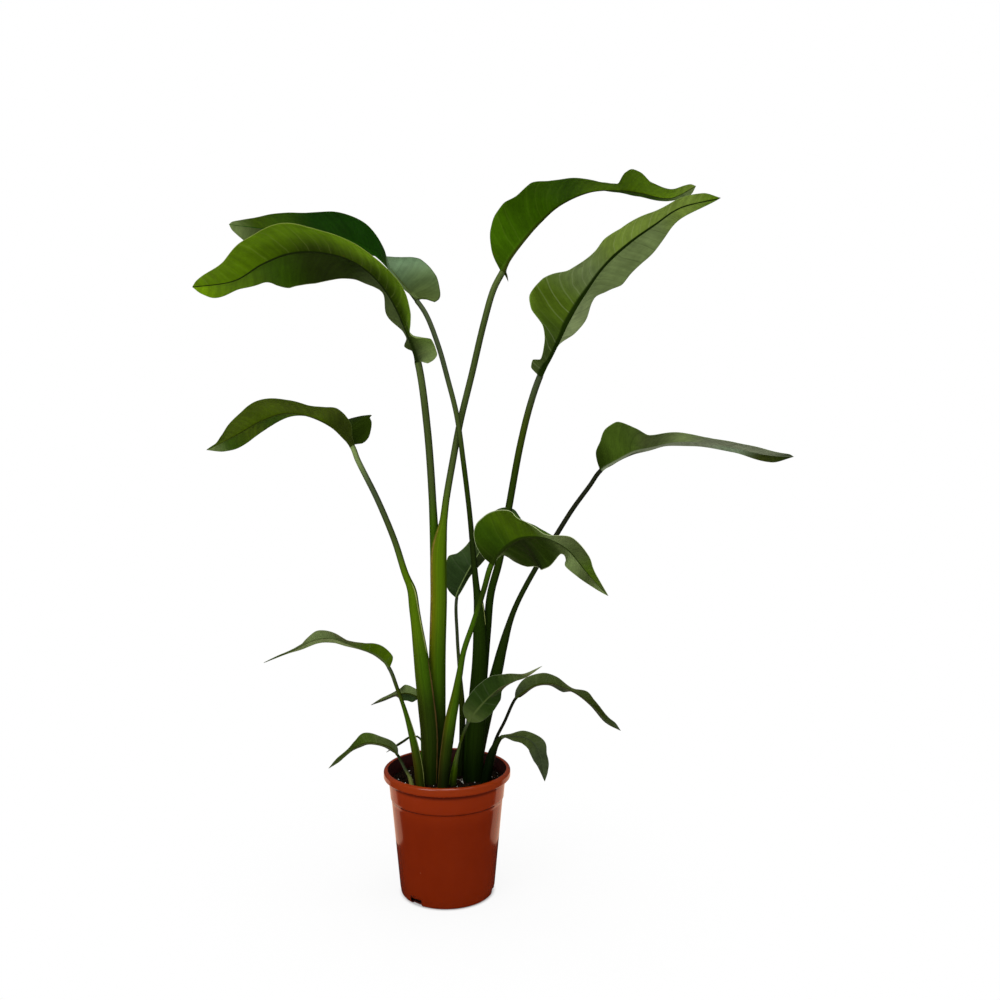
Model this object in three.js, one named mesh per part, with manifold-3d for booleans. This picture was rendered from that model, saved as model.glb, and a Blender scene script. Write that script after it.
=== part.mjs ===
// Bird of paradise plant in a round plastic nursery pot.
// Millimetres, +Z up, +Y away from the front, origin in the middle of the pot's underside.
import * as THREE from 'three';
import { mergeVertices } from 'three/addons/utils/BufferGeometryUtils.js';
import Module from 'manifold-3d';

const wasm = await Module();
wasm.setup();

// Driving dimensions of the pot.
const POT_HEIGHT = 240;
const RIM_RADIUS = 120;
const RIM_LIP = 16;
const RIM_INNER_RADIUS = 112;
const WALL = 2;
const FLOOR = 3;
const FOOT_RADIUS = 82;
const WALL_RADIUS_AT_FLOOR = 88.9;
const WALL_TAPER = 0.0907;
const BAND_HEIGHT = 186;
const BAND_STEP = 1.5;
const LIP_ROUND = 5;
const LIP_INNER_BEVEL = 1.5;
const LIP_FOOT = 3;
const NECK_FALL = 2;
const NECK_EXTRA = 0.5;
const POT_SEGMENTS = 48;

// Drain slots, cut through the corner between wall and floor.
const SLOT_COUNT = 3;
const SLOT_WIDTH = 26;
const SLOT_HEIGHT = 12;
const SLOT_DEPTH = 24;
const SLOT_RADIUS = 86;
const SLOT_FIRST_ANGLE = THREE.MathUtils.degToRad(-129);

// Soil.
const SOIL_TOP = 215;
const SOIL_GAP = 0.4;
const SOIL_RINGS = 6;
const SOIL_BUMP = 2.5;
const SOIL_CORNER = 14;
const SOIL_FOOT_INSET = 8;
const SOIL_SHOULDER = BAND_HEIGHT - 4;

// Leaves. ROW_CROWDING above 1 sets a blade's rows closer together near the stalk. BASE_REACH is
// the part of the rib beside which the base is rounded. RIB_TAPER is how far the rib thins out.
const TOUCH_GAP = 0.3;
const STALK_ROOTED = 40;
const BLADE_THICKNESS = 1.2;
const ROW_CROWDING = 1.15;
const BASE_REACH = 0.2;
const RIB_TAPER = 0.8;
const RIB_FLANK = 1;
const LARGE = { rows: 20, halfStrips: 4, sides: 10, steps: 22 };
const SMALL = { rows: 14, halfStrips: 3, sides: 8, steps: 9 };

const potPlastic = new THREE.MeshStandardMaterial({ color: 0x8a2f12, roughness: 0.35, metalness: 0 });
const soilEarth = new THREE.MeshStandardMaterial({ color: 0x1d140e, roughness: 1, metalness: 0 });
const stalkGreen = new THREE.MeshStandardMaterial({ color: 0x3f5a1c, roughness: 0.5, metalness: 0 });
const bladeGreen = new THREE.MeshStandardMaterial({ color: 0x24470f, roughness: 0.4, metalness: 0 });

// Each leaf is a stalk, whose path starts at the soil, and a blade along its rib.
// girth: the stalk as [height, half width, half depth], wide where it is the sheath of its
// neighbours and round at the blade.
// right and left: the edge of each half of the blade, as [part of the rib's length, millimetres to
// that hand of the rib, millimetres from the rib towards the front, and, where it isn't 0,
// millimetres ahead along the leaf]. Right is the right-hand side of the rib as it runs from the
// stalk to the tip, seen from the front.
// keel: how far the rib stands out below the blade. bow: how far each half arches. lag: how far the
// round base reaches back along the stalk.
const LEAVES = [
  {
    name: 'leaf_01', detail: LARGE,
    stalk: [[-22, 8, 215], [-23, 7, 370], [-22, 5, 470], [-21, 1, 562], [-21.5, -2, 650], [-23, -5, 712],
      [-33, -10, 879], [-49, -20, 1003]],
    rib: [[-66, -28, 1055], [-85, -36, 1099], [-107, -45, 1135], [-134, -53, 1163], [-168, -60, 1183],
      [-220, -68, 1194], [-270, -74, 1190], [-317, -78, 1171], [-364, -80, 1143], [-439, -82, 1131]],
    girth: [[215, 11, 7.5], [370, 10, 7.5], [562, 8.9, 7.5], [675, 8.4, 7.4], [712, 7.8, 7.2],
      [751, 7.1, 7], [1003, 6.5, 6.5]],
    keel: 4, bow: 5, lag: 7,
    right: [[0, 6, 2], [0.006, 17, 4, -9], [0.015, 28, 7, -10], [0.03, 38, 12, -7], [0.045, 38, 18, -3],
      [0.074, 36, 28], [0.086, 29, 36], [0.1, 12, 46], [0.12, 6, 58], [0.15, 14, 63], [0.18, 21, 67],
      [0.25, 28, 76], [0.4, 21, 87], [0.5, 23, 86], [0.57, 28, 81], [0.65, 40, 69], [0.75, 37.5, 55],
      [0.85, 29, 42], [0.93, 18, 26], [0.98, 8, 9], [1, 0, 0]],
    left: [[0, 5, -3], [0.03, 6, -24], [0.047, 7, -33], [0.058, 13, -38], [0.074, 18, -43],
      [0.1, 9, -52], [0.12, 10, -57], [0.19, 27, -68], [0.26, 10, -81], [0.35, 24, -85], [0.44, 31, -84],
      [0.57, 49, -69], [0.69, 48, -58], [0.79, 15, -61], [0.86, 9, -50], [0.94, 20, -26], [0.98, 11, -9],
      [1, 0, 0]],
  },
  {
    name: 'leaf_02', detail: LARGE,
    stalk: [[49, -8, 215], [52, -7, 290], [58, -5, 371], [62.5, -2, 447], [62.5, 1, 500], [60.5, 3, 551],
      [56.5, 4, 581], [53, 4, 615], [44, 4, 721], [32, 4, 823], [20, 8, 907], [3, 25, 973],
      [-15, 50, 1034], [-40, 80, 1096], [-59, 95, 1124]],
    rib: [[-91, 100, 1160], [-130, 104, 1205], [-187, 108, 1241], [-264, 110, 1252], [-341, 112, 1262],
      [-420, 112, 1271]],
    girth: [[215, 19, 7], [295, 19, 7], [371, 17, 7], [447, 14.5, 7], [485, 13.2, 7], [523, 11.4, 7],
      [551, 9.5, 6.5], [566, 8, 6], [580, 6.6, 5.6], [600, 6, 5.4], [674, 5.1, 5], [749, 4.8, 4.8],
      [1124, 4.8, 4.8]],
    keel: 3, bow: 4, lag: 4,
    right: [[0, 0, 6], [0.08, -4, 46], [0.16, -4, 63], [0.23, 14, 74], [0.36, 31, 79], [0.48, 33, 79],
      [0.6, 28, 75], [0.73, 23, 64], [0.88, 9, 40], [0.95, 5, 22], [0.98, 4, 9], [1, 0, 0]],
    left: [[0, -5, -2], [0.005, -14, -4, -8], [0.01, -25, -5, -27], [0.03, -38, -9, -33],
      [0.055, -49, -13, -28], [0.09, -60, -18, -18], [0.13, -62.5, -28, -8], [0.17, -59, -42, -2],
      [0.2, -48, -54], [0.24, -30, -68], [0.3, -8, -80], [0.41, 8, -85], [0.56, 14, -82], [0.8, 34, -52],
      [0.925, 27, -24], [0.95, 21, -18], [0.97, 15, -12], [0.99, 8, -5], [1, 0, 0]],
  },
  {
    name: 'leaf_03', detail: LARGE,
    stalk: [[-18.5, -12, 215], [-18.5, -11, 370], [-16.5, -12, 470], [-13.5, -16, 565],
      [-12.5, -18, 660], [-4, -17, 712], [1, -15, 751], [13, 5, 823], [26, 26, 894], [47, 42, 981],
      [69.5, 55, 1077], [88.5, 64, 1143], [105, 70, 1175]],
    rib: [[121, 72, 1202], [142, 74, 1230], [176, 76, 1269], [213, 76, 1301], [270, 74, 1325],
      [320, 70, 1327], [363, 66, 1321], [418, 62, 1311], [466, 58, 1332]],
    girth: [[215, 17, 8], [370, 16.8, 8], [470, 15.6, 8], [565, 15.4, 8], [650, 15, 7.8],
      [677, 12.8, 7.5], [695, 9.8, 7], [715, 7.1, 6.8], [751, 6.4, 6.4], [1175, 6, 6]],
    keel: 3, bow: 5, lag: 5,
    right: [[0, 5, -3], [0.006, 18, -5, -12], [0.013, 13, -7, -7], [0.02, 4, -14], [0.05, -4, -28],
      [0.1, -10, -46], [0.25, -23, -68], [0.45, -23, -78], [0.65, -9, -70], [0.85, -3, -44],
      [0.93, 4, -26], [0.97, 8, -14], [1, 0, 0]],
    left: [[0, 5, 3], [0.04, 28, 9], [0.07, 42, 10], [0.12, 61, 10], [0.18, 72, 10], [0.22, 73, 12],
      [0.27, 61, 38], [0.33, 58, 53], [0.38, 38, 73], [0.47, 18, 80], [0.58, -1, 77], [0.645, -4.5, 72],
      [0.67, 16, 67], [0.7, 26, 63], [0.735, 23, 60], [0.78, 10, 59], [0.84, 8, 48], [0.93, 9, 28],
      [0.975, 7, 12], [1, 0, 0]],
  },
  {
    name: 'leaf_04', detail: LARGE,
    stalk: [[50, 24, 215], [64, 22, 380], [76, 20, 504], [83, 18, 571], [99, 16, 633], [117, 12, 735],
      [138, 7, 851], [156, 3, 925], [174, 0, 978]],
    rib: [[196, -4, 1022], [221, -9, 1072], [251, -15, 1124], [286, -22, 1174], [333, -30, 1216],
      [375, -38, 1245], [418, -46, 1273], [490, -56, 1289]],
    girth: [[215, 13, 8], [388, 10.3, 7.8], [560, 7.3, 7.3], [978, 6, 6]],
    keel: 5, bow: 4, lag: 4,
    right: [[0, 2, -5], [0.05, 3, -38], [0.14, 6, -60], [0.21, 24, -68], [0.28, 30, -74],
      [0.37, 22, -82], [0.42, 34, -79], [0.49, 48, -70], [0.55, 44, -70], [0.65, 40, -65],
      [0.8, 18, -56], [0.95, 4, -25], [1, 0, 0]],
    left: [[0, 4, 4], [0.02, 22, 12], [0.05, 25, 27], [0.07, 13, 43], [0.13, 20, 54], [0.18, 36, 57],
      [0.215, 70, 32], [0.26, 84, 8], [0.32, 78, 32], [0.36, 64, 56], [0.4, 44, 74], [0.5, 26, 82],
      [0.55, 30, 79], [0.58, 28.5, 76], [0.62, 24.5, 73], [0.7, 21, 66], [0.82, 10, 54], [0.93, 10, 29],
      [1, 0, 0]],
  },
  {
    name: 'leaf_05', detail: LARGE,
    stalk: [[-30, -29, 215], [-30, -29, 300], [-37, -28, 378], [-48, -25, 472], [-58, -23, 547],
      [-63, -22.5, 584], [-75, -22, 615], [-94, -24, 677], [-124, -27, 752], [-159, -30, 825],
      [-169, -32, 851]],
    rib: [[-181, -35, 864], [-202, -38, 885], [-244, -46, 906], [-286, -52, 911], [-326, -58, 898],
      [-372, -63, 872], [-425, -68, 845]],
    girth: [[215, 14, 7], [264, 15, 7], [340, 17, 7], [415, 15.7, 7], [472, 13.2, 7], [528, 10.2, 7],
      [565, 9.3, 7], [584, 8.4, 6.5], [603, 6.8, 6], [640, 6, 6], [750, 5.4, 5.2], [851, 5, 5]],
    keel: 3, bow: 4, lag: 4,
    right: [[0, 4, 2], [0.06, 16, 26], [0.12, 30, 31], [0.2, 35, 41], [0.27, 27, 54], [0.35, 20, 61],
      [0.44, 22, 63], [0.6, 31, 55], [0.69, 24, 50], [0.79, 18, 41], [0.86, 8, 34], [0.93, 0, 22],
      [1, 0, 0]],
    left: [[0, -4, -3], [0.008, -20, -5, -11], [0.02, -34, -8, -14], [0.035, -44, -10, -14],
      [0.05, -51, -12, -12], [0.07, -56, -14, -8], [0.085, -58, -17, -5], [0.092, -64, -18, -6],
      [0.1, -57, -20, -3], [0.115, -43, -28], [0.13, -31, -36], [0.148, -15, -45], [0.17, 0, -52],
      [0.29, 3, -61], [0.49, 8, -65], [0.6, 11, -61], [0.72, 16, -50], [0.84, 20, -34], [0.92, 15, -23],
      [1, 0, 0]],
  },
  {
    name: 'leaf_06', detail: LARGE,
    stalk: [[54, 8, 215], [59, 8, 261], [73, 8, 333], [85, 8.5, 387], [95, 9.5, 426], [104, 11, 464],
      [120, 14.5, 520], [134.5, 17, 556], [165, 22, 613], [207, 28, 681], [238, 32, 730], [269, 36, 772],
      [291, 40, 802]],
    rib: [[318, 42, 818], [358, 44, 839], [394, 46, 848], [426, 47, 855], [480, 49, 856], [556, 52, 843],
      [604, 54, 832], [660, 56, 827]],
    girth: [[215, 11, 6.5], [333, 11.3, 6.5], [387, 11.8, 6.5], [426, 10.9, 6.5], [464, 9, 6.5],
      [483, 8, 6.5], [520, 5.8, 5.5], [558, 5, 5], [613, 4.9, 4.9], [803, 4.2, 4.2]],
    keel: 3, bow: 3, lag: 4,
    right: [[0, 1, -5], [0.05, 6, -32], [0.11, 7, -46], [0.2, 10, -60], [0.42, 11, -73], [0.57, 10, -70],
      [0.74, 10, -56], [0.91, 14, -28], [1, 0, 0]],
    left: [[0, 5, 3], [0.03, 36, 6], [0.08, 51, 6], [0.13, 64, 6], [0.17, 66, 12], [0.21, 44, 42],
      [0.25, 26, 58], [0.31, 24, 65], [0.44, 15, 72], [0.58, 8, 70], [0.72, 9, 59], [0.84, 8, 43],
      [0.96, 5, 14], [1, 0, 0]],
  },
  {
    name: 'leaf_07', detail: LARGE,
    stalk: [[-6, -52, 215], [-1, -53, 272], [4, -54, 310], [10, -55, 350], [18, -56, 388],
      [26, -59, 434], [35, -63, 481], [53, -68, 534], [71, -76, 593], [86, -84, 643]],
    rib: [[107, -105, 672], [132, -135, 693], [158, -165, 701], [185, -190, 700], [214, -205, 684],
      [245, -215, 648], [281, -222, 608]],
    girth: [[215, 10.5, 7], [272, 10.8, 7], [329, 10.9, 7], [348, 10.4, 7], [386, 8.8, 6.5],
      [405, 7.5, 6], [434, 6.1, 5.6], [481, 5, 5], [643, 5, 5]],
    keel: 3, bow: 5, lag: 6,
    right: [[0, 3, -3], [0.05, 10, -24], [0.09, 32, -15], [0.16, 55, -8], [0.3, 66, -12],
      [0.41, 59, -27], [0.51, 30, -47], [0.62, 17, -52], [0.71, 24, -46], [0.82, 18, -36],
      [0.93, 9, -21], [1, 0, 0]],
    left: [[0, 5, 3], [0.03, 22, 6], [0.07, 44, 6], [0.12, 60, 6], [0.18, 67, 8], [0.22, 67, 10],
      [0.38, 54, 36], [0.49, 30, 54], [0.58, 8, 58], [0.67, 22, 49], [0.76, 20, 43], [0.86, 10, 33],
      [1, 0, 0]],
  },
  {
    name: 'leaf_08', detail: SMALL,
    stalk: [[25, 22, 215], [28, 30, 300], [27, 36, 360], [21, 44, 436], [18, 50, 482], [17, 58, 555]],
    rib: [[29, 62, 585], [50, 68, 623], [81, 76, 669], [112, 84, 703], [141, 92, 706]],
    girth: [[215, 6, 5], [300, 6, 5], [345, 5.6, 4.6], [390, 4.2, 4], [430, 3.4, 3.3], [555, 3.1, 3.1]],
    keel: 2, bow: 3, lag: 4,
    right: [[0, 1, 3], [0.09, 4, 25], [0.23, 5, 41], [0.4, 11, 48], [0.56, 16, 45], [0.71, 24, 31],
      [0.91, 14, 12], [1, 0, 0]],
    left: [[0, 3, -2], [0.07, 24, -6], [0.18, 41, -8], [0.29, 48, -14], [0.36, 35, -34], [0.48, 27, -42],
      [0.64, 25, -36], [0.83, 26, -10], [0.93, 18, 0], [1, 0, 0]],
  },
  {
    name: 'leaf_09', detail: SMALL,
    stalk: [[-47, -46, 215], [-51, -47.5, 258], [-60, -52, 309], [-71.5, -58, 358], [-86.5, -64, 407],
      [-102, -70, 450]],
    rib: [[-122, -76, 473], [-149, -82, 487], [-174, -87, 498], [-200, -91, 508], [-232, -95, 506],
      [-274, -100, 486], [-322, -106, 467]],
    girth: [[215, 9, 6], [250, 8.9, 6], [290, 7.7, 5.5], [329, 5.8, 5], [358, 4.4, 4.2], [387, 3.6, 3.6],
      [450, 3.5, 3.5]],
    keel: 2, bow: 2, lag: 3,
    right: [[0, 4, 0], [0.06, 19, 2], [0.14, 21, 4], [0.27, 16, 19], [0.38, 12, 25], [0.56, 19, 19],
      [0.64, 10, 23], [0.7, 4, 22], [0.85, 4, 13], [1, 0, 0]],
    left: [[0, 2, -3], [0.1, 6, -13], [0.22, 8, -21], [0.46, 14, -24], [0.57, 12, -24], [0.7, 9, -20],
      [0.81, 4, -16], [1, 0, 0]],
  },
  {
    name: 'leaf_10', detail: SMALL,
    stalk: [[-62, -54, 215], [-66, -56, 238], [-75, -61, 258], [-88, -68, 287]],
    rib: [[-101, -74, 303], [-122, -80, 312], [-145, -84, 314], [-168, -88, 304], [-188, -92, 290],
      [-210, -96, 270]],
    girth: [[215, 5, 4], [232, 4.1, 3.6], [250, 2.9, 2.9], [287, 2.6, 2.6]],
    keel: 1.5, bow: 1, lag: 2,
    right: [[0, 2, 2], [0.12, 11, 2], [0.3, 16, 8], [0.45, 20, 6], [0.55, 13, 14], [0.69, 6, 14],
      [0.84, 4, 8], [1, 0, 0]],
    left: [[0, 2, -2], [0.13, 8, -8], [0.29, 9, -14], [0.49, 9, -16], [0.66, 6, -14], [0.82, 6, -8],
      [1, 0, 0]],
  },
  {
    name: 'leaf_11', detail: SMALL,
    stalk: [[-48, 12, 215], [-48, 20, 260], [-50, 28, 310], [-55, 35, 362]],
    rib: [[-73, 38, 372], [-95, 42, 371], [-116, 45, 363], [-150, 50, 346]],
    girth: [[215, 6, 5], [238, 4.8, 4.3], [260, 3.4, 3.4], [362, 2.6, 2.6]],
    keel: 1.5, bow: 1, lag: 1,
    right: [[0, 2, 2], [0.06, 11, 3], [0.17, 15, 5], [0.28, 17, 2], [0.35, 12, 12], [0.49, 8, 16],
      [0.71, 6, 12], [1, 0, 0]],
    left: [[0, 2, -2], [0.06, 12, -3], [0.15, 16, -4], [0.25, 16, -4], [0.39, 16, -5], [0.56, 7, -16],
      [0.73, 6, -12], [1, 0, 0]],
  },
  {
    name: 'leaf_12', detail: SMALL,
    stalk: [[-40, 34, 215], [-45, 40, 250], [-51, 45, 276], [-60, 49, 284]],
    rib: [[-72, 51, 284], [-88, 54, 273], [-105, 57, 261], [-122, 60, 249]],
    girth: [[215, 4, 4], [228, 3.1, 3.1], [240, 2, 2], [284, 1.8, 1.8]],
    keel: 1, bow: 0.5, lag: 1,
    right: [[0, 1, 1], [0.25, 3, 6], [0.5, 4, 8], [0.75, 3, 6], [1, 0, 0]],
    left: [[0, 1, -1], [0.25, 3, -6], [0.5, 4, -8], [0.75, 3, -6], [1, 0, 0]],
  },
  {
    name: 'leaf_13', detail: SMALL,
    stalk: [[11, -34, 215], [15, -40, 245], [21, -46, 278], [30, -54, 313], [43, -63, 347]],
    rib: [[58, -69, 370], [81, -77, 397], [100, -83, 415], [122, -90, 428], [147, -97, 440],
      [176, -104, 461]],
    girth: [[215, 8, 6], [252, 5.8, 4.8], [290, 3.1, 3.1], [347, 2.8, 2.8]],
    keel: 1.5, topInFront: true, bow: -2, lag: 3,
    right: [[0, 3, 0], [0.04, 12, 0], [0.1, 20, -1], [0.23, 25, -5], [0.35, 23, -20], [0.44, 12, -27],
      [0.58, 8, -27], [0.75, 6, -20], [1, 0, 0]],
    left: [[0, 3, 0], [0.04, 12, 1], [0.12, 24, 2], [0.23, 29, 3], [0.35, 31, 5], [0.5, 30, 10],
      [0.6, 25, 15], [0.81, 11, 15], [0.93, 4, 7], [1, 0, 0]],
  },
  {
    name: 'leaf_14', detail: SMALL,
    stalk: [[78, -12, 215], [80, -12, 255], [93.5, -14, 301], [108.5, -15, 332], [130, -16, 378]],
    rib: [[145, -20, 391], [166, -24, 405], [192, -28, 410], [218, -32, 404], [246, -36, 391],
      [273, -40, 370], [300, -44, 341], [324, -48, 325]],
    girth: [[215, 7, 5], [242, 5.1, 4.1], [270, 3.2, 3.2], [378, 2.8, 2.8]],
    keel: 1.5, bow: 1.5, lag: 3,
    right: [[0, 2, -2], [0.04, 6, -5], [0.15, 7, -15], [0.31, 10, -20], [0.43, 14, -19], [0.51, 7, -23],
      [0.7, 6, -18], [0.84, 6, -11], [1, 0, 0]],
    left: [[0, 2, 2], [0.07, 14, 3], [0.17, 21, 4], [0.27, 21, 6], [0.35, 18, 15], [0.49, 9, 22],
      [0.6, 16, 15], [0.67, 12, 16], [0.82, 8, 11], [0.91, 8, 3], [1, 0, 0]],
  },
  {
    name: 'leaf_15', detail: SMALL,
    stalk: [[72, -30, 215], [79, -33, 250], [86, -36, 280], [95, -39, 300], [104, -43, 312]],
    rib: [[122, -50, 316], [145, -56, 316], [165, -63, 304], [175, -70, 283], [179, -76, 261],
      [182, -82, 241]],
    girth: [[215, 9, 7], [250, 9.3, 7], [278, 8, 6], [300, 5, 4], [312, 3.7, 3.4]],
    keel: 1.5, bow: 1, lag: 2,
    right: [[0, 2, -2], [0.09, 9, -9], [0.17, 14, -11], [0.32, 18, -14], [0.51, 18, -13], [0.7, 15, -8],
      [0.8, 9, -10], [1, 0, 0]],
    left: [[0, 3, 3], [0.17, 9, 14], [0.31, 15.5, 15], [0.41, 17, 14], [0.53, 19, 10], [0.66, 13, 13],
      [0.77, 12, 9], [0.88, 8, 5], [1, 0, 0]],
  },
];

// A closed body from a list of points and a list of triangles over them.
function bodyFrom(points, triangles) {
  const geometry = new THREE.BufferGeometry();
  geometry.setAttribute('position', new THREE.Float32BufferAttribute(points, 3));
  geometry.setIndex(triangles);
  const merged = mergeVertices(geometry, 1e-3);
  const index = Array.from(merged.index.array);
  const kept = [];
  for (let i = 0; i < index.length; i += 3) {
    const [a, b, c] = index.slice(i, i + 3);
    if (a !== b && b !== c && c !== a) kept.push(a, b, c);
  }
  merged.setIndex(kept);
  return merged;
}

function toSolid(geometry) {
  const points = Array.from(geometry.getAttribute('position').array);
  const merged = bodyFrom(points, Array.from(geometry.index.array));
  return new wasm.Manifold(new wasm.Mesh({
    numProp: 3,
    vertProperties: new Float32Array(merged.attributes.position.array),
    triVerts: new Uint32Array(merged.index.array),
  }));
}

function fromSolid(solid) {
  const mesh = solid.getMesh();
  const geometry = new THREE.BufferGeometry();
  geometry.setAttribute('position', new THREE.Float32BufferAttribute(mesh.vertProperties, 3));
  geometry.setIndex(Array.from(mesh.triVerts));
  return geometry;
}

// The values between the stations of a list at t: smooth curves through them that never swing past
// one. A value that a station leaves out is 0.
function between(stations, t) {
  let i = 0;
  while (i < stations.length - 2 && t > stations[i + 1][0]) i += 1;
  const step = stations[i + 1][0] - stations[i][0];
  const w = THREE.MathUtils.clamp((t - stations[i][0]) / step, 0, 1);
  const value = (k, axis) => stations[k][axis] ?? 0;
  const slope = (k, axis) => {
    const rise = value(k + 1, axis) - value(k, axis);
    return rise / (stations[k + 1][0] - stations[k][0]);
  };
  const tangent = (k, axis) => {
    if (k === 0) return slope(0, axis);
    if (k === stations.length - 1) return slope(k - 1, axis);
    const [before, after] = [slope(k - 1, axis), slope(k, axis)];
    return before * after > 0 ? (2 * before * after) / (before + after) : 0;
  };
  return [1, 2, 3].map((axis) => {
    const [from, to] = [value(i, axis), value(i + 1, axis)];
    const [m0, m1] = [tangent(i, axis) * step, tangent(i + 1, axis) * step];
    const bend = w * (1 - w) * (m0 * (1 - w) - m1 * w);
    return from + (to - from) * w * w * (3 - 2 * w) + bend;
  });
}

// The whole path of a leaf, from its root in the soil through the stalk to the tip of the blade.
function leafRoute(leaf) {
  const soilPoint = new THREE.Vector3(...leaf.stalk[0]);
  const above = new THREE.Vector3(...leaf.stalk[1]);
  const down = soilPoint.clone().sub(above).normalize().multiplyScalar(STALK_ROOTED);
  const points = [soilPoint.clone().add(down), soilPoint, above];
  for (const p of leaf.stalk.slice(2).concat(leaf.rib)) points.push(new THREE.Vector3(...p));
  const curve = new THREE.CatmullRomCurve3(points, false, 'centripetal');
  curve.arcLengthDivisions = 600;
  const lengths = curve.getLengths(600);
  const jointIndex = leaf.stalk.length;
  const joint = lengths[Math.round((jointIndex / (points.length - 1)) * 600)];
  return { curve, length: curve.getLength(), joint };
}

// Point, direction, sideways and forward directions at a distance along the path.
function frameAt(route, distance) {
  const u = THREE.MathUtils.clamp(distance / route.length, 0, 1);
  const point = route.curve.getPointAt(u);
  const along = route.curve.getTangentAt(u).normalize();
  const front = new THREE.Vector3(0, -1, 0);
  const forward = front.addScaledVector(along, -front.dot(along)).normalize();
  const side = new THREE.Vector3().crossVectors(along, forward);
  return { point, along, forward, side };
}

// A stalk: an ellipse carried along the path, as wide and deep as the leaf's girth says. clearance
// makes the slightly larger form that cuts its hole in the soil.
function stalkGeometry(leaf, route, clearance = 0) {
  const { sides, steps } = leaf.detail;
  const start = -clearance;
  const end = route.joint;
  const points = [];
  for (let i = 0; i <= steps; i += 1) {
    const distance = start + ((end - start) * i) / steps;
    const { point, along, forward, side } = frameAt(route, Math.max(distance, 0));
    if (i === 0) point.addScaledVector(along, -clearance);
    const [halfWidth, halfDepth] = between(leaf.girth, point.z);
    const [width, depth] = [halfWidth + clearance, halfDepth + clearance];
    for (let k = 0; k < sides; k += 1) {
      const angle = (2 * Math.PI * (k + 0.5)) / sides;
      const p = point.clone()
        .addScaledVector(side, width * Math.cos(angle))
        .addScaledVector(forward, depth * Math.sin(angle));
      points.push(p.x, p.y, p.z);
    }
  }
  const triangles = [];
  for (let i = 0; i < steps; i += 1) {
    for (let k = 0; k < sides; k += 1) {
      const a = i * sides + k;
      const b = i * sides + ((k + 1) % sides);
      triangles.push(a, a + sides, b, b, a + sides, b + sides);
    }
  }
  const last = steps * sides;
  for (let k = 1; k < sides - 1; k += 1) {
    triangles.push(0, k, k + 1);
    triangles.push(last, last + k + 1, last + k);
  }
  return bodyFrom(points, triangles);
}

// A blade: two halves between the rib and their edges, which arch by bow between the two. Near the
// stalk the edge falls back by lag, which rounds the base. The underside carries the rib as a keel.
function bladeGeometry(leaf, route) {
  const { rows, halfStrips } = leaf.detail;
  const columns = 2 * halfStrips + 1;
  const start = route.joint + TOUCH_GAP;
  const reach = route.length - start;
  const topSign = leaf.topInFront ? -1 : 1;
  const neckRadius = leaf.girth[leaf.girth.length - 1][1];
  const upper = [];
  const lower = [];
  for (let i = 0; i <= rows; i += 1) {
    const t = (i / rows) ** ROW_CROWDING;
    const { point, along, forward, side } = frameAt(route, start + reach * t);
    const atTip = i === rows;
    const ribRadius = neckRadius * (1 - RIB_TAPER * t);
    const keel = atTip ? 0 : leaf.keel * (1 - RIB_TAPER * t);
    const thin = atTip ? 0 : BLADE_THICKNESS / 2;
    const halves = [leaf.left, leaf.right].map((stations, k) => {
      const hand = k === 0 ? -1 : 1;
      const [out, front, ahead] = between(stations, t);
      const reached = Math.hypot(out, front);
      const width = atTip ? 0 : Math.max(reached, ribRadius);
      const lean = Math.atan2(front, out);
      const away = side.clone().multiplyScalar(hand * Math.cos(lean));
      const facing = side.clone().multiplyScalar(hand * Math.sin(lean));
      away.addScaledVector(forward, Math.sin(lean));
      facing.addScaledVector(forward, -Math.cos(lean)).multiplyScalar(topSign);
      return { width, away, facing, ahead };
    });
    for (let j = -halfStrips; j <= halfStrips; j += 1) {
      const { width, away, facing: plain, ahead } = halves[j < 0 ? 0 : 1];
      const step = Math.abs(j);
      const flank = Math.min(ribRadius + RIB_FLANK, width / 2);
      const out = step === 0 ? 0 : flank + ((width - flank) * (step - 1)) / (halfStrips - 1);
      const s = width > 0 ? out / width : 0;
      const ridge = halves[0].facing.clone().add(halves[1].facing).normalize();
      const facing = step === 0 ? ridge : plain;
      const arch = leaf.bow * Math.sin(Math.PI * s) * Math.sin(Math.PI * t);
      const fallBack = leaf.lag * s * s * Math.sin(Math.PI * Math.min(t / BASE_REACH, 1));
      const place = point.clone()
        .addScaledVector(away, out)
        .addScaledVector(facing, arch)
        .addScaledVector(along, ahead * s * s - fallBack);
      upper.push(place.clone().addScaledVector(facing, thin));
      lower.push(place.clone().addScaledVector(facing, -thin - (step === 0 ? keel : 0)));
    }
  }
  const points = upper.concat(lower).flatMap((p) => [p.x, p.y, p.z]);
  const below = upper.length;
  const triangles = [];
  const quad = (a, b, c, d) => (topSign > 0
    ? triangles.push(a, c, b, a, d, c)
    : triangles.push(a, b, c, a, c, d));
  for (let i = 0; i < rows; i += 1) {
    for (let j = 0; j < columns - 1; j += 1) {
      const a = i * columns + j;
      quad(a, a + 1, a + columns + 1, a + columns);
      quad(below + a, below + a + columns, below + a + columns + 1, below + a + 1);
    }
    const near = i * columns;
    const far = near + columns - 1;
    quad(near, near + columns, below + near + columns, below + near);
    quad(far, below + far, below + far + columns, far + columns);
  }
  for (let j = 0; j < columns - 1; j += 1) quad(j, below + j, below + j + 1, j + 1);
  return bodyFrom(points, triangles);
}

function wallRadius(height) {
  return WALL_RADIUS_AT_FLOOR + WALL_TAPER * height;
}

// Points on an arc in the pot's profile, as [radius, height].
function arc(centreRadius, centreHeight, radius, from, to, steps) {
  const points = [];
  for (let i = 0; i <= steps; i += 1) {
    const angle = THREE.MathUtils.degToRad(from + ((to - from) * i) / steps);
    points.push([centreRadius + radius * Math.cos(angle), centreHeight + radius * Math.sin(angle)]);
  }
  return points;
}

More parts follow.
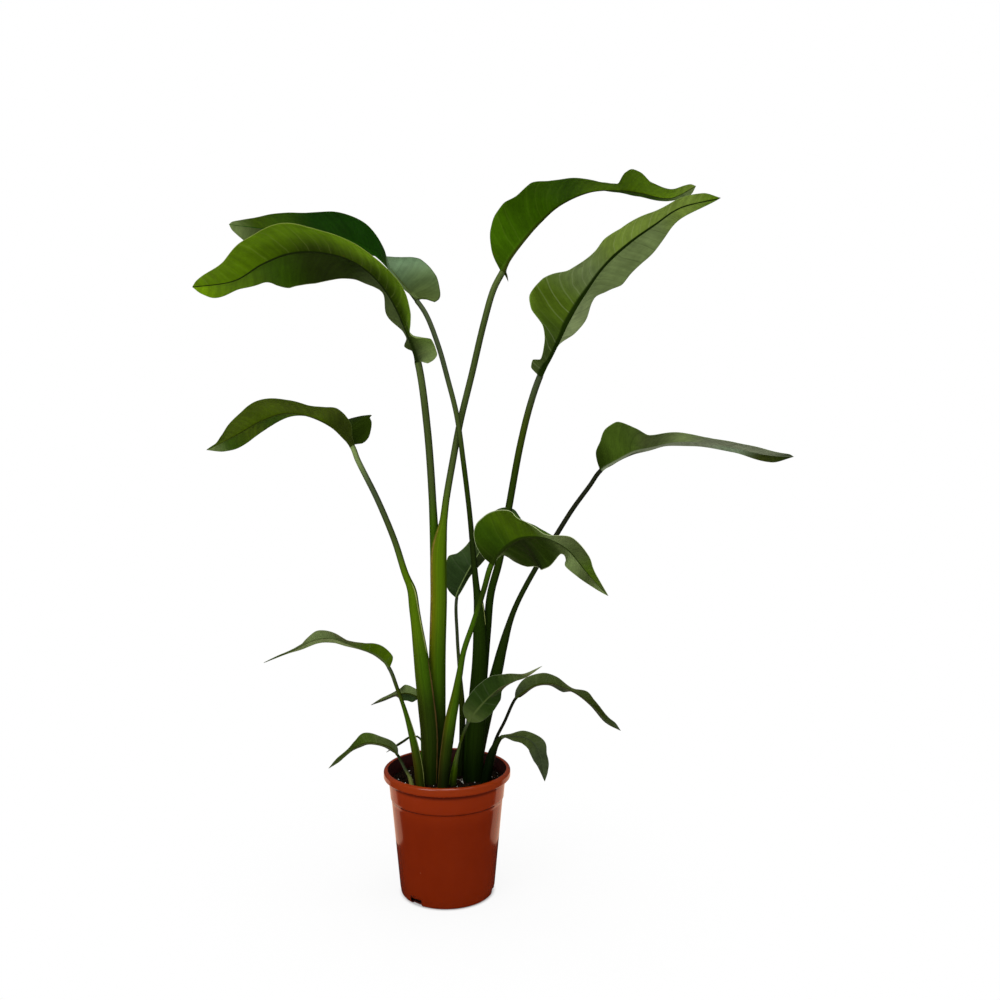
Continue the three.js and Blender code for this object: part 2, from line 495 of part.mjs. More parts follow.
// The pot: one turned profile with a flat underside, a tapered wall, a band a step wider below the
// rim and a rounded lip, with drain slots cut through its lower corner.
function potGeometry() {
  const cornerRadius = wallRadius(0) - FOOT_RADIUS;
  const lipBottom = POT_HEIGHT - RIM_LIP;
  const neckRadius = wallRadius(lipBottom) + BAND_STEP;
  const innerTop = RIM_INNER_RADIUS + LIP_INNER_BEVEL;
  const hollowRound = cornerRadius - WALL;
  const hollowCorner = wallRadius(FLOOR + hollowRound) - WALL - hollowRound;
  const profile = [
    [0, 0],
    ...arc(FOOT_RADIUS, cornerRadius, cornerRadius, -90, 0, 4),
    [wallRadius(BAND_HEIGHT - 1), BAND_HEIGHT - 1],
    [wallRadius(BAND_HEIGHT) + BAND_STEP, BAND_HEIGHT],
    [neckRadius, lipBottom - NECK_FALL],
    [RIM_RADIUS - LIP_FOOT, lipBottom],
    [RIM_RADIUS, lipBottom + LIP_FOOT],
    ...arc(RIM_RADIUS - LIP_ROUND, POT_HEIGHT - LIP_ROUND, LIP_ROUND, 0, 90, 4),
    [innerTop, POT_HEIGHT],
    [RIM_INNER_RADIUS, POT_HEIGHT - LIP_INNER_BEVEL],
    [neckRadius - WALL - NECK_EXTRA, lipBottom - NECK_FALL],
    [wallRadius(BAND_HEIGHT) + BAND_STEP - WALL, BAND_HEIGHT],
    [wallRadius(BAND_HEIGHT) - WALL, BAND_HEIGHT - WALL],
    ...arc(hollowCorner, FLOOR + hollowRound, hollowRound, 0, -90, 3),
    [0, FLOOR],
  ];
  const outline = profile.map(([radius, height]) => new THREE.Vector2(radius, height));
  const turned = new THREE.LatheGeometry(outline, POT_SEGMENTS);
  turned.rotateX(Math.PI / 2);
  let pot = toSolid(turned);
  for (let i = 0; i < SLOT_COUNT; i += 1) {
    const angle = SLOT_FIRST_ANGLE + (2 * Math.PI * i) / SLOT_COUNT;
    const slot = new THREE.BoxGeometry(SLOT_DEPTH, SLOT_WIDTH, 2 * SLOT_HEIGHT);
    slot.translate(SLOT_RADIUS, 0, 0);
    slot.rotateZ(angle);
    pot = pot.subtract(toSolid(slot));
  }
  return fromSolid(pot);
}

// Height of the soil above SOIL_TOP: low rounded bumps that fade out towards the wall.
function soilBump(radius, angle) {
  const wide = Math.sin(radius / 17 + 2 * Math.cos(angle * 3)) * Math.cos(radius / 29 + angle * 2);
  const fine = Math.sin(radius / 6 + angle * 5) * 0.4;
  return SOIL_BUMP * (wide + fine) * (1 - (radius / 110) ** 4);
}

// The soil fills the pot from its floor and has a plain hole for each stalk.
function soilGeometry(routes) {
  const floor = FLOOR + SOIL_GAP;
  const inside = (height) => wallRadius(height) - WALL - SOIL_GAP;
  const levels = [[inside(SOIL_CORNER) - SOIL_FOOT_INSET, floor]];
  for (const height of [SOIL_CORNER, SOIL_SHOULDER, SOIL_TOP]) levels.push([inside(height), height]);
  const points = [0, 0, floor];
  const ringAt = [];
  const addRing = (radius, height, bumpy) => {
    ringAt.push(points.length / 3);
    for (let k = 0; k < POT_SEGMENTS; k += 1) {
      const angle = (2 * Math.PI * k) / POT_SEGMENTS;
      const lift = bumpy ? soilBump(radius, angle) : 0;
      points.push(radius * Math.cos(angle), radius * Math.sin(angle), height + lift);
    }
  };
  for (const [radius, height] of levels) addRing(radius, height, false);
  const topRadius = levels[levels.length - 1][0];
  for (let r = SOIL_RINGS - 1; r > 0; r -= 1) addRing((topRadius * r) / SOIL_RINGS, SOIL_TOP, true);
  const crown = points.length / 3;
  points.push(0, 0, SOIL_TOP + soilBump(0, 0));
  const triangles = [];
  for (let k = 0; k < POT_SEGMENTS; k += 1) {
    const next = (k + 1) % POT_SEGMENTS;
    triangles.push(0, ringAt[0] + next, ringAt[0] + k);
    for (let r = 0; r < ringAt.length - 1; r += 1) {
      const [a, b, c, d] = [ringAt[r] + k, ringAt[r] + next, ringAt[r + 1] + next, ringAt[r + 1] + k];
      triangles.push(a, b, c, a, c, d);
    }
    const top = ringAt[ringAt.length - 1];
    triangles.push(top + k, top + next, crown);
  }
  let soil = toSolid(bodyFrom(points, triangles));
  LEAVES.forEach((leaf, i) => {
    soil = soil.subtract(toSolid(stalkGeometry(leaf, routes[i], TOUCH_GAP)));
  });
  return fromSolid(soil);
}

function named(name, geometry, material) {
  const mesh = new THREE.Mesh(geometry, material);
  mesh.name = name;
  return mesh;
}

const plant = new THREE.Group();
const routes = LEAVES.map(leafRoute);
plant.add(named('pot', potGeometry(), potPlastic));
plant.add(named('soil', soilGeometry(routes), soilEarth));
LEAVES.forEach((leaf, i) => {
  plant.add(named(`${leaf.name}_stalk`, stalkGeometry(leaf, routes[i]), stalkGreen));
  plant.add(named(`${leaf.name}_blade`, bladeGeometry(leaf, routes[i]), bladeGreen));
});

export default plant;
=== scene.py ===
from math import radians

import bmesh
import bpy
import numpy as np
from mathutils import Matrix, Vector


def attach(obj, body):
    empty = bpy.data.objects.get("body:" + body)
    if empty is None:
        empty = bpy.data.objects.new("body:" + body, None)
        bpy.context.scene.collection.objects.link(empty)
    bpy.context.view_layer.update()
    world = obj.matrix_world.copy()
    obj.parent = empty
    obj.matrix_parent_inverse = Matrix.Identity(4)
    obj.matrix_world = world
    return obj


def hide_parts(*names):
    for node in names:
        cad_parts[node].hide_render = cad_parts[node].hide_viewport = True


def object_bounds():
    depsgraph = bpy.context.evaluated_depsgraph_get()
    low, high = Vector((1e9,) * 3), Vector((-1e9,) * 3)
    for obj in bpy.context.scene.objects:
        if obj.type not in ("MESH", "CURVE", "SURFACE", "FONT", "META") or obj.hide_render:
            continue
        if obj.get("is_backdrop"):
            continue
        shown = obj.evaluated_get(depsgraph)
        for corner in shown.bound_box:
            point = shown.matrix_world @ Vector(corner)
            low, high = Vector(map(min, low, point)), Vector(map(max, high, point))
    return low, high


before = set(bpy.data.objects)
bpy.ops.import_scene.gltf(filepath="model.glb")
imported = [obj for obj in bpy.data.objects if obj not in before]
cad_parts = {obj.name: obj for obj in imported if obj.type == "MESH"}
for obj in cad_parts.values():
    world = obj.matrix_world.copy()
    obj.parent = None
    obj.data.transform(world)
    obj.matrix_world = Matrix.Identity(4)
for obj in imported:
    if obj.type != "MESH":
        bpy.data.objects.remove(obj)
cad_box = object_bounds()

MM = 0.001

# The camera stands where the photograph was taken.
CAMERA_PLACE = (0.10034, -2.0, 0.9238)
CAMERA_TILT = 85.014
CAMERA_LENS = 38.89
CAMERA_SENSOR = 36

# The warm cards that the pot reflects: their near corner, turn from straight back, size, power and
# colour. They lie low and are small, because a larger one would grey the leaves.
CARD_CORNER = (0.295, 0.03)
CARD_TURN = 36
CARD_SIZE = 0.6
CARD_POWER = 1.1
CARD_COLOUR = (1.0, 0.6, 0.42)
CARD_HEIGHT = 0.002

# The lamps: name, place, aim, size and power.
LAMPS = (
    ("over_light", (0.2, -0.3, 3.2), (0.05, 0, 0.8), 2.4, 60),
    ("front_light", (-1.6, -2.2, 2.4), (0, 0, 0.8), 1.6, 30),
)

# How far the floor's shadows are softened for the camera: from one distance from the pot's middle to
# another the share rises from the third number to the fourth. The two shares add up.
SOFTER_AT_FOOT = (0.084, 0.094, 0.25, 0.9)
SOFTER_FURTHER = (0.1, 0.7, 0.0, 0.1)

# How bright the sky is to the camera, as light, and in reflections.
SKY_SEEN = 1.0
SKY_LIGHT = 0.65
SKY_MIRRORED = 0.1

# The pot, as in the part's source. Only the drain slots differ: they are 2 mm higher and reach 6 mm
# less far in, so that their edges show.
POT_HEIGHT = 240
RIM_RADIUS = 120
RIM_LIP = 16
RIM_INNER_RADIUS = 112
WALL = 2
FLOOR = 3
FOOT_RADIUS = 82
WALL_RADIUS_AT_FLOOR = 88.9
WALL_TAPER = 0.0907
BAND_HEIGHT = 186
BAND_STEP = 1.5
BAND_FALL = 1
LIP_ROUND = 5
LIP_INNER_BEVEL = 1.5
LIP_FOOT = 3
NECK_FALL = 2
NECK_EXTRA = 0.5
SLOT_COUNT = 3
SLOT_WIDTH = 26
SLOT_HEIGHT = 14
SLOT_INNER_RADIUS = 80
SLOT_FIRST_ANGLE = -129

# The soil, as in the part's source.
SOIL_TOP = 215
SOIL_GAP = 0.4
SOIL_BUMP = 2.5
SOIL_CORNER = 14
SOIL_FOOT_INSET = 8
SOIL_SHOULDER = BAND_HEIGHT - 4

# The loose crumbs and the pale grains on the soil: how many, out to which radius, how large, and how
# far their middles stand above it. The near grains lie between two values of X and two of Y instead.
CRUMB_COUNT = 1500
CRUMB_REACH = 103
CRUMB_SIZE = (0.8, 2.6)
CRUMB_RISE = 0.4
GRAIN_COUNT = 70
GRAIN_REACH = 102
GRAIN_SIZE = (0.9, 2.0)
GRAIN_RISE = 0.5
NEAR_GRAIN_COUNT = 22
NEAR_GRAIN_X = (8, 34)
NEAR_GRAIN_Y = (-44, 4)
NEAR_GRAIN_RISE = 0.6

# The leaves, as in the part's source, except that the real blade is thinner than its solid.
STALK_ROOTED = 40
TOUCH_GAP = 0.3
ROW_CROWDING = 1.15
BASE_REACH = 0.2
RIB_TAPER = 0.8
BLADE_THICKNESS = 0.7

# Finer form of the leaves: the part of the rib over which the tip closes, and the part over which the
# neck flattens, how many rib widths out a half takes up its own lean, how the strips crowd towards the
# rib, the length of the margin's ripple, and its height, in all and as a share of the half's width, how
# a side vein slants and curves away from the rib, how far apart the main and the small ones are, the
# height of the quilting, and the flutes round a stalk with their height as a share.
TIP_CLOSING = 0.02
NECK_END = 0.06
FOLD_REACH = 1.6
STRIP_CROWDING = 1.25
RIPPLE_LENGTH = 13
RIPPLE_HEIGHT = 1.6
RIPPLE_SHARE = 0.02
VEIN_SLANT = 0.28
VEIN_CURVE = 0.0016
VEIN_STEP = 19
SMALL_VEIN_STEP = 3.2
QUILT_HEIGHT = 0.35
FLUTES = ((9, 0.012), (17, 0.008))

# A dry sheath edge: its thickness, and the share of its length over which each end thins out.
EDGE_THICKNESS = 0.8
EDGE_END = 1 / 6

# How finely each piece is meshed. Points closer than MEETING, in metres, are joined.
LARGE = {"rows": 170, "half_strips": 26, "sides": 40, "steps": 150}
SMALL = {"rows": 100, "half_strips": 18, "sides": 32, "steps": 80}
SPLINE_STEPS = 80
EDGE_STEPS, EDGE_SIDES = 60, 8
POT_SEGMENTS = 180
SOIL_SEGMENTS, SOIL_RINGS = 240, 70
LUMP_ROWS, LUMP_COLUMNS = 5, 7
MEETING = 2e-6

# How strongly each surface reflects. The leaves and the soil hardly do: a pale floor would grey them.
BLADE_GLOSS = 0.05
STALK_GLOSS = 0.07
SOIL_GLOSS = 0.05
EDGE_GLOSS = 0.3
POT_GLOSS = 0.5
BLADE_SHEEN = (0.8, 1.0, 0.3, 1)
STALK_SHEEN = (0.9, 1.0, 0.4, 1)
WHITE = (1, 1, 1, 1)

# A leaf runs through the points of its stalk and then its rib. girth: height, half width and half
# depth of the stalk. keel: depth of the rib below the blade. bow: how far the halves bulge upwards.
# lag: how far the base is drawn back. right and left: place along the rib, reach of that half across
# and towards the viewer, and a shift along the rib, which may be left out.
LEAVES = [
    {
        "name": "leaf_01", "grid": LARGE,
        "stalk": [[-22, 8, 215], [-23, 7, 370], [-22, 5, 470], [-21, 1, 562], [-21.5, -2, 650],
            [-23, -5, 712], [-33, -10, 879], [-49, -20, 1003]],
        "rib": [[-66, -28, 1055], [-85, -36, 1099], [-107, -45, 1135], [-134, -53, 1163],
            [-168, -60, 1183], [-220, -68, 1194], [-270, -74, 1190], [-317, -78, 1171],
            [-364, -80, 1143], [-439, -82, 1131]],
        "girth": [[215, 11, 7.5], [370, 10, 7.5], [562, 8.9, 7.5], [675, 8.4, 7.4], [712, 7.8, 7.2],
            [751, 7.1, 7], [1003, 6.5, 6.5]],
        "keel": 4, "bow": 5, "lag": 7,
        "right": [[0, 6, 2], [0.006, 17, 4, -9], [0.015, 28, 7, -10], [0.03, 38, 12, -7],
            [0.045, 38, 18, -3], [0.074, 36, 28], [0.086, 29, 36], [0.1, 12, 46], [0.12, 6, 58],
            [0.15, 14, 63], [0.18, 21, 67], [0.25, 28, 76], [0.4, 21, 87], [0.5, 23, 86], [0.57, 28, 81],
            [0.65, 40, 69], [0.75, 37.5, 55], [0.85, 29, 42], [0.93, 18, 26], [0.98, 8, 9], [1, 0, 0]],
        "left": [[0, 5, -3], [0.03, 6, -24], [0.047, 7, -33], [0.058, 13, -38], [0.074, 18, -43],
            [0.1, 9, -52], [0.12, 10, -57], [0.19, 27, -68], [0.26, 10, -81], [0.35, 24, -85],
            [0.44, 31, -84], [0.57, 49, -69], [0.69, 48, -58], [0.79, 15, -61], [0.86, 9, -50],
            [0.94, 20, -26], [0.98, 11, -9], [1, 0, 0]],
    },
    {
        "name": "leaf_02", "grid": LARGE,
        "stalk": [[49, -8, 215], [52, -7, 290], [58, -5, 371], [62.5, -2, 447], [62.5, 1, 500],
            [60.5, 3, 551], [56.5, 4, 581], [53, 4, 615], [44, 4, 721], [32, 4, 823], [20, 8, 907],
            [3, 25, 973], [-15, 50, 1034], [-40, 80, 1096], [-59, 95, 1124]],
        "rib": [[-91, 100, 1160], [-130, 104, 1205], [-187, 108, 1241], [-264, 110, 1252],
            [-341, 112, 1262], [-420, 112, 1271]],
        "girth": [[215, 19, 7], [295, 19, 7], [371, 17, 7], [447, 14.5, 7], [485, 13.2, 7],
            [523, 11.4, 7], [551, 9.5, 6.5], [566, 8, 6], [580, 6.6, 5.6], [600, 6, 5.4], [674, 5.1, 5],
            [749, 4.8, 4.8], [1124, 4.8, 4.8]],
        "keel": 3, "bow": 4, "lag": 4,
        "right": [[0, 0, 6], [0.08, -4, 46], [0.16, -4, 63], [0.23, 14, 74], [0.36, 31, 79],
            [0.48, 33, 79], [0.6, 28, 75], [0.73, 23, 64], [0.88, 9, 40], [0.95, 5, 22], [0.98, 4, 9],
            [1, 0, 0]],
        "left": [[0, -5, -2], [0.005, -14, -4, -8], [0.01, -25, -5, -27], [0.03, -38, -9, -33],
            [0.055, -49, -13, -28], [0.09, -60, -18, -18], [0.13, -62.5, -28, -8], [0.17, -59, -42, -2],
            [0.2, -48, -54], [0.24, -30, -68], [0.3, -8, -80], [0.41, 8, -85], [0.56, 14, -82],
            [0.8, 34, -52], [0.925, 27, -24], [0.95, 21, -18], [0.97, 15, -12], [0.99, 8, -5],
            [1, 0, 0]],
    },
    {
        "name": "leaf_03", "grid": LARGE,
        "stalk": [[-18.5, -12, 215], [-18.5, -11, 370], [-16.5, -12, 470], [-13.5, -16, 565],
            [-12.5, -18, 660], [-4, -17, 712], [1, -15, 751], [13, 5, 823], [26, 26, 894], [47, 42, 981],
            [69.5, 55, 1077], [88.5, 64, 1143], [105, 70, 1175]],
        "rib": [[121, 72, 1202], [142, 74, 1230], [176, 76, 1269], [213, 76, 1301], [270, 74, 1325],
            [320, 70, 1327], [363, 66, 1321], [418, 62, 1311], [466, 58, 1332]],
        "girth": [[215, 17, 8], [370, 16.8, 8], [470, 15.6, 8], [565, 15.4, 8], [650, 15, 7.8],
            [677, 12.8, 7.5], [695, 9.8, 7], [715, 7.1, 6.8], [751, 6.4, 6.4], [1175, 6, 6]],
        "keel": 3, "bow": 5, "lag": 5,
        "right": [[0, 5, -3], [0.006, 18, -5, -12], [0.013, 13, -7, -7], [0.02, 4, -14], [0.05, -4, -28],
            [0.1, -10, -46], [0.25, -23, -68], [0.45, -23, -78], [0.65, -9, -70], [0.85, -3, -44],
            [0.93, 4, -26], [0.97, 8, -14], [1, 0, 0]],
        "left": [[0, 5, 3], [0.04, 28, 9], [0.07, 42, 10], [0.12, 61, 10], [0.18, 72, 10],
            [0.22, 73, 12], [0.27, 61, 38], [0.33, 58, 53], [0.38, 38, 73], [0.47, 18, 80],
            [0.58, -1, 77], [0.645, -4.5, 72], [0.67, 16, 67], [0.7, 26, 63], [0.735, 23, 60],
            [0.78, 10, 59], [0.84, 8, 48], [0.93, 9, 28], [0.975, 7, 12], [1, 0, 0]],
    },
    {
        "name": "leaf_04", "grid": LARGE,
        "stalk": [[50, 24, 215], [64, 22, 380], [76, 20, 504], [83, 18, 571], [99, 16, 633],
            [117, 12, 735], [138, 7, 851], [156, 3, 925], [174, 0, 978]],
        "rib": [[196, -4, 1022], [221, -9, 1072], [251, -15, 1124], [286, -22, 1174], [333, -30, 1216],
            [375, -38, 1245], [418, -46, 1273], [490, -56, 1289]],
        "girth": [[215, 13, 8], [388, 10.3, 7.8], [560, 7.3, 7.3], [978, 6, 6]],
        "keel": 5, "bow": 4, "lag": 4,
        "right": [[0, 2, -5], [0.05, 3, -38], [0.14, 6, -60], [0.21, 24, -68], [0.28, 30, -74],
            [0.37, 22, -82], [0.42, 34, -79], [0.49, 48, -70], [0.55, 44, -70], [0.65, 40, -65],
            [0.8, 18, -56], [0.95, 4, -25], [1, 0, 0]],
        "left": [[0, 4, 4], [0.02, 22, 12], [0.05, 25, 27], [0.07, 13, 43], [0.13, 20, 54],
            [0.18, 36, 57], [0.215, 70, 32], [0.26, 84, 8], [0.32, 78, 32], [0.36, 64, 56],
            [0.4, 44, 74], [0.5, 26, 82], [0.55, 30, 79], [0.58, 28.5, 76], [0.62, 24.5, 73],
            [0.7, 21, 66], [0.82, 10, 54], [0.93, 10, 29], [1, 0, 0]],
    },
    {
        "name": "leaf_05", "grid": LARGE,
        "stalk": [[-30, -29, 215], [-30, -29, 300], [-37, -28, 378], [-48, -25, 472], [-58, -23, 547],
            [-63, -22.5, 584], [-75, -22, 615], [-94, -24, 677], [-124, -27, 752], [-159, -30, 825],
            [-169, -32, 851]],
        "rib": [[-181, -35, 864], [-202, -38, 885], [-244, -46, 906], [-286, -52, 911], [-326, -58, 898],
            [-372, -63, 872], [-425, -68, 845]],
        "girth": [[215, 14, 7], [264, 15, 7], [340, 17, 7], [415, 15.7, 7], [472, 13.2, 7],
            [528, 10.2, 7], [565, 9.3, 7], [584, 8.4, 6.5], [603, 6.8, 6], [640, 6, 6], [750, 5.4, 5.2],
            [851, 5, 5]],
        "keel": 3, "bow": 4, "lag": 4,
        "right": [[0, 4, 2], [0.06, 16, 26], [0.12, 30, 31], [0.2, 35, 41], [0.27, 27, 54],
            [0.35, 20, 61], [0.44, 22, 63], [0.6, 31, 55], [0.69, 24, 50], [0.79, 18, 41], [0.86, 8, 34],
            [0.93, 0, 22], [1, 0, 0]],
        "left": [[0, -4, -3], [0.008, -20, -5, -11], [0.02, -34, -8, -14], [0.035, -44, -10, -14],
            [0.05, -51, -12, -12], [0.07, -56, -14, -8], [0.085, -58, -17, -5], [0.092, -64, -18, -6],
            [0.1, -57, -20, -3], [0.115, -43, -28], [0.13, -31, -36], [0.148, -15, -45], [0.17, 0, -52],
            [0.29, 3, -61], [0.49, 8, -65], [0.6, 11, -61], [0.72, 16, -50], [0.84, 20, -34],
            [0.92, 15, -23], [1, 0, 0]],
    },
    {
        "name": "leaf_06", "grid": LARGE,
        "stalk": [[54, 8, 215], [59, 8, 261], [73, 8, 333], [85, 8.5, 387], [95, 9.5, 426],
            [104, 11, 464], [120, 14.5, 520], [134.5, 17, 556], [165, 22, 613], [207, 28, 681],
            [238, 32, 730], [269, 36, 772], [291, 40, 802]],
        "rib": [[318, 42, 818], [358, 44, 839], [394, 46, 848], [426, 47, 855], [480, 49, 856],
            [556, 52, 843], [604, 54, 832], [660, 56, 827]],
        "girth": [[215, 11, 6.5], [333, 11.3, 6.5], [387, 11.8, 6.5], [426, 10.9, 6.5], [464, 9, 6.5],
            [483, 8, 6.5], [520, 5.8, 5.5], [558, 5, 5], [613, 4.9, 4.9], [803, 4.2, 4.2]],
        "keel": 3, "bow": 3, "lag": 4,
        "right": [[0, 1, -5], [0.05, 6, -32], [0.11, 7, -46], [0.2, 10, -60], [0.42, 11, -73],
            [0.57, 10, -70], [0.74, 10, -56], [0.91, 14, -28], [1, 0, 0]],
        "left": [[0, 5, 3], [0.03, 36, 6], [0.08, 51, 6], [0.13, 64, 6], [0.17, 66, 12], [0.21, 44, 42],
            [0.25, 26, 58], [0.31, 24, 65], [0.44, 15, 72], [0.58, 8, 70], [0.72, 9, 59], [0.84, 8, 43],
            [0.96, 5, 14], [1, 0, 0]],
    },
    {
        "name": "leaf_07", "grid": LARGE,
        "stalk": [[-6, -52, 215], [-1, -53, 272], [4, -54, 310], [10, -55, 350], [18, -56, 388],
            [26, -59, 434], [35, -63, 481], [53, -68, 534], [71, -76, 593], [86, -84, 643]],
        "rib": [[107, -105, 672], [132, -135, 693], [158, -165, 701], [185, -190, 700], [214, -205, 684],
            [245, -215, 648], [281, -222, 608]],
        "girth": [[215, 10.5, 7], [272, 10.8, 7], [329, 10.9, 7], [348, 10.4, 7], [386, 8.8, 6.5],
            [405, 7.5, 6], [434, 6.1, 5.6], [481, 5, 5], [643, 5, 5]],
        "keel": 3, "bow": 5, "lag": 6,
        "right": [[0, 3, -3], [0.05, 10, -24], [0.09, 32, -15], [0.16, 55, -8], [0.3, 66, -12],
            [0.41, 59, -27], [0.51, 30, -47], [0.62, 17, -52], [0.71, 24, -46], [0.82, 18, -36],
            [0.93, 9, -21], [1, 0, 0]],
        "left": [[0, 5, 3], [0.03, 22, 6], [0.07, 44, 6], [0.12, 60, 6], [0.18, 67, 8], [0.22, 67, 10],
            [0.38, 54, 36], [0.49, 30, 54], [0.58, 8, 58], [0.67, 22, 49], [0.76, 20, 43],
            [0.86, 10, 33], [1, 0, 0]],
    },
    {
        "name": "leaf_08", "grid": SMALL,
        "stalk": [[25, 22, 215], [28, 30, 300], [27, 36, 360], [21, 44, 436], [18, 50, 482],
            [17, 58, 555]],
        "rib": [[29, 62, 585], [50, 68, 623], [81, 76, 669], [112, 84, 703], [141, 92, 706]],
        "girth": [[215, 6, 5], [300, 6, 5], [345, 5.6, 4.6], [390, 4.2, 4], [430, 3.4, 3.3],
            [555, 3.1, 3.1]],
        "keel": 2, "bow": 3, "lag": 4,
        "right": [[0, 1, 3], [0.09, 4, 25], [0.23, 5, 41], [0.4, 11, 48], [0.56, 16, 45], [0.71, 24, 31],
            [0.91, 14, 12], [1, 0, 0]],
        "left": [[0, 3, -2], [0.07, 24, -6], [0.18, 41, -8], [0.29, 48, -14], [0.36, 35, -34],
            [0.48, 27, -42], [0.64, 25, -36], [0.83, 26, -10], [0.93, 18, 0], [1, 0, 0]],
    },
    {
        "name": "leaf_09", "grid": SMALL,
        "stalk": [[-47, -46, 215], [-51, -47.5, 258], [-60, -52, 309], [-71.5, -58, 358],
            [-86.5, -64, 407], [-102, -70, 450]],
        "rib": [[-122, -76, 473], [-149, -82, 487], [-174, -87, 498], [-200, -91, 508], [-232, -95, 506],
            [-274, -100, 486], [-322, -106, 467]],
        "girth": [[215, 9, 6], [250, 8.9, 6], [290, 7.7, 5.5], [329, 5.8, 5], [358, 4.4, 4.2],
            [387, 3.6, 3.6], [450, 3.5, 3.5]],
        "keel": 2, "bow": 2, "lag": 3,
        "right": [[0, 4, 0], [0.06, 19, 2], [0.14, 21, 4], [0.27, 16, 19], [0.38, 12, 25],
            [0.56, 19, 19], [0.64, 10, 23], [0.7, 4, 22], [0.85, 4, 13], [1, 0, 0]],
        "left": [[0, 2, -3], [0.1, 6, -13], [0.22, 8, -21], [0.46, 14, -24], [0.57, 12, -24],
            [0.7, 9, -20], [0.81, 4, -16], [1, 0, 0]],
    },
    {
        "name": "leaf_10", "grid": SMALL,
        "stalk": [[-62, -54, 215], [-66, -56, 238], [-75, -61, 258], [-88, -68, 287]],
        "rib": [[-101, -74, 303], [-122, -80, 312], [-145, -84, 314], [-168, -88, 304], [-188, -92, 290],
            [-210, -96, 270]],
        "girth": [[215, 5, 4], [232, 4.1, 3.6], [250, 2.9, 2.9], [287, 2.6, 2.6]],
        "keel": 1.5, "bow": 1, "lag": 2,
        "right": [[0, 2, 2], [0.12, 11, 2], [0.3, 16, 8], [0.45, 20, 6], [0.55, 13, 14], [0.69, 6, 14],
            [0.84, 4, 8], [1, 0, 0]],
        "left": [[0, 2, -2], [0.13, 8, -8], [0.29, 9, -14], [0.49, 9, -16], [0.66, 6, -14],
            [0.82, 6, -8], [1, 0, 0]],
    },
    {
        "name": "leaf_11", "grid": SMALL,
        "stalk": [[-48, 12, 215], [-48, 20, 260], [-50, 28, 310], [-55, 35, 362]],
        "rib": [[-73, 38, 372], [-95, 42, 371], [-116, 45, 363], [-150, 50, 346]],
        "girth": [[215, 6, 5], [238, 4.8, 4.3], [260, 3.4, 3.4], [362, 2.6, 2.6]],
        "keel": 1.5, "bow": 1, "lag": 1,
        "right": [[0, 2, 2], [0.06, 11, 3], [0.17, 15, 5], [0.28, 17, 2], [0.35, 12, 12], [0.49, 8, 16],
            [0.71, 6, 12], [1, 0, 0]],
        "left": [[0, 2, -2], [0.06, 12, -3], [0.15, 16, -4], [0.25, 16, -4], [0.39, 16, -5],
            [0.56, 7, -16], [0.73, 6, -12], [1, 0, 0]],
    },
    {
        "name": "leaf_12", "grid": SMALL,
        "stalk": [[-40, 34, 215], [-45, 40, 250], [-51, 45, 276], [-60, 49, 284]],
        "rib": [[-72, 51, 284], [-88, 54, 273], [-105, 57, 261], [-122, 60, 249]],
        "girth": [[215, 4, 4], [228, 3.1, 3.1], [240, 2, 2], [284, 1.8, 1.8]],
        "keel": 1, "bow": 0.5, "lag": 1,
        "right": [[0, 1, 1], [0.25, 3, 6], [0.5, 4, 8], [0.75, 3, 6], [1, 0, 0]],
        "left": [[0, 1, -1], [0.25, 3, -6], [0.5, 4, -8], [0.75, 3, -6], [1, 0, 0]],
    },
    {
        "name": "leaf_13", "grid": SMALL,
        "stalk": [[11, -34, 215], [15, -40, 245], [21, -46, 278], [30, -54, 313], [43, -63, 347]],
        "rib": [[58, -69, 370], [81, -77, 397], [100, -83, 415], [122, -90, 428], [147, -97, 440],
            [176, -104, 461]],
        "girth": [[215, 8, 6], [252, 5.8, 4.8], [290, 3.1, 3.1], [347, 2.8, 2.8]],
        "keel": 1.5, "top_in_front": True, "bow": -2, "lag": 3,
        "right": [[0, 3, 0], [0.04, 12, 0], [0.1, 20, -1], [0.23, 25, -5], [0.35, 23, -20],
            [0.44, 12, -27], [0.58, 8, -27], [0.75, 6, -20], [1, 0, 0]],
        "left": [[0, 3, 0], [0.04, 12, 1], [0.12, 24, 2], [0.23, 29, 3], [0.35, 31, 5], [0.5, 30, 10],
            [0.6, 25, 15], [0.81, 11, 15], [0.93, 4, 7], [1, 0, 0]],
    },
    {
        "name": "leaf_14", "grid": SMALL,
        "stalk": [[78, -12, 215], [80, -12, 255], [93.5, -14, 301], [108.5, -15, 332], [130, -16, 378]],
        "rib": [[145, -20, 391], [166, -24, 405], [192, -28, 410], [218, -32, 404], [246, -36, 391],
            [273, -40, 370], [300, -44, 341], [324, -48, 325]],
        "girth": [[215, 7, 5], [242, 5.1, 4.1], [270, 3.2, 3.2], [378, 2.8, 2.8]],
        "keel": 1.5, "bow": 1.5, "lag": 3,
        "right": [[0, 2, -2], [0.04, 6, -5], [0.15, 7, -15], [0.31, 10, -20], [0.43, 14, -19],
            [0.51, 7, -23], [0.7, 6, -18], [0.84, 6, -11], [1, 0, 0]],
        "left": [[0, 2, 2], [0.07, 14, 3], [0.17, 21, 4], [0.27, 21, 6], [0.35, 18, 15], [0.49, 9, 22],
            [0.6, 16, 15], [0.67, 12, 16], [0.82, 8, 11], [0.91, 8, 3], [1, 0, 0]],
    },
    {
        "name": "leaf_15", "grid": SMALL,
        "stalk": [[72, -30, 215], [79, -33, 250], [86, -36, 280], [95, -39, 300], [104, -43, 312]],
        "rib": [[122, -50, 316], [145, -56, 316], [165, -63, 304], [175, -70, 283], [179, -76, 261],
            [182, -82, 241]],
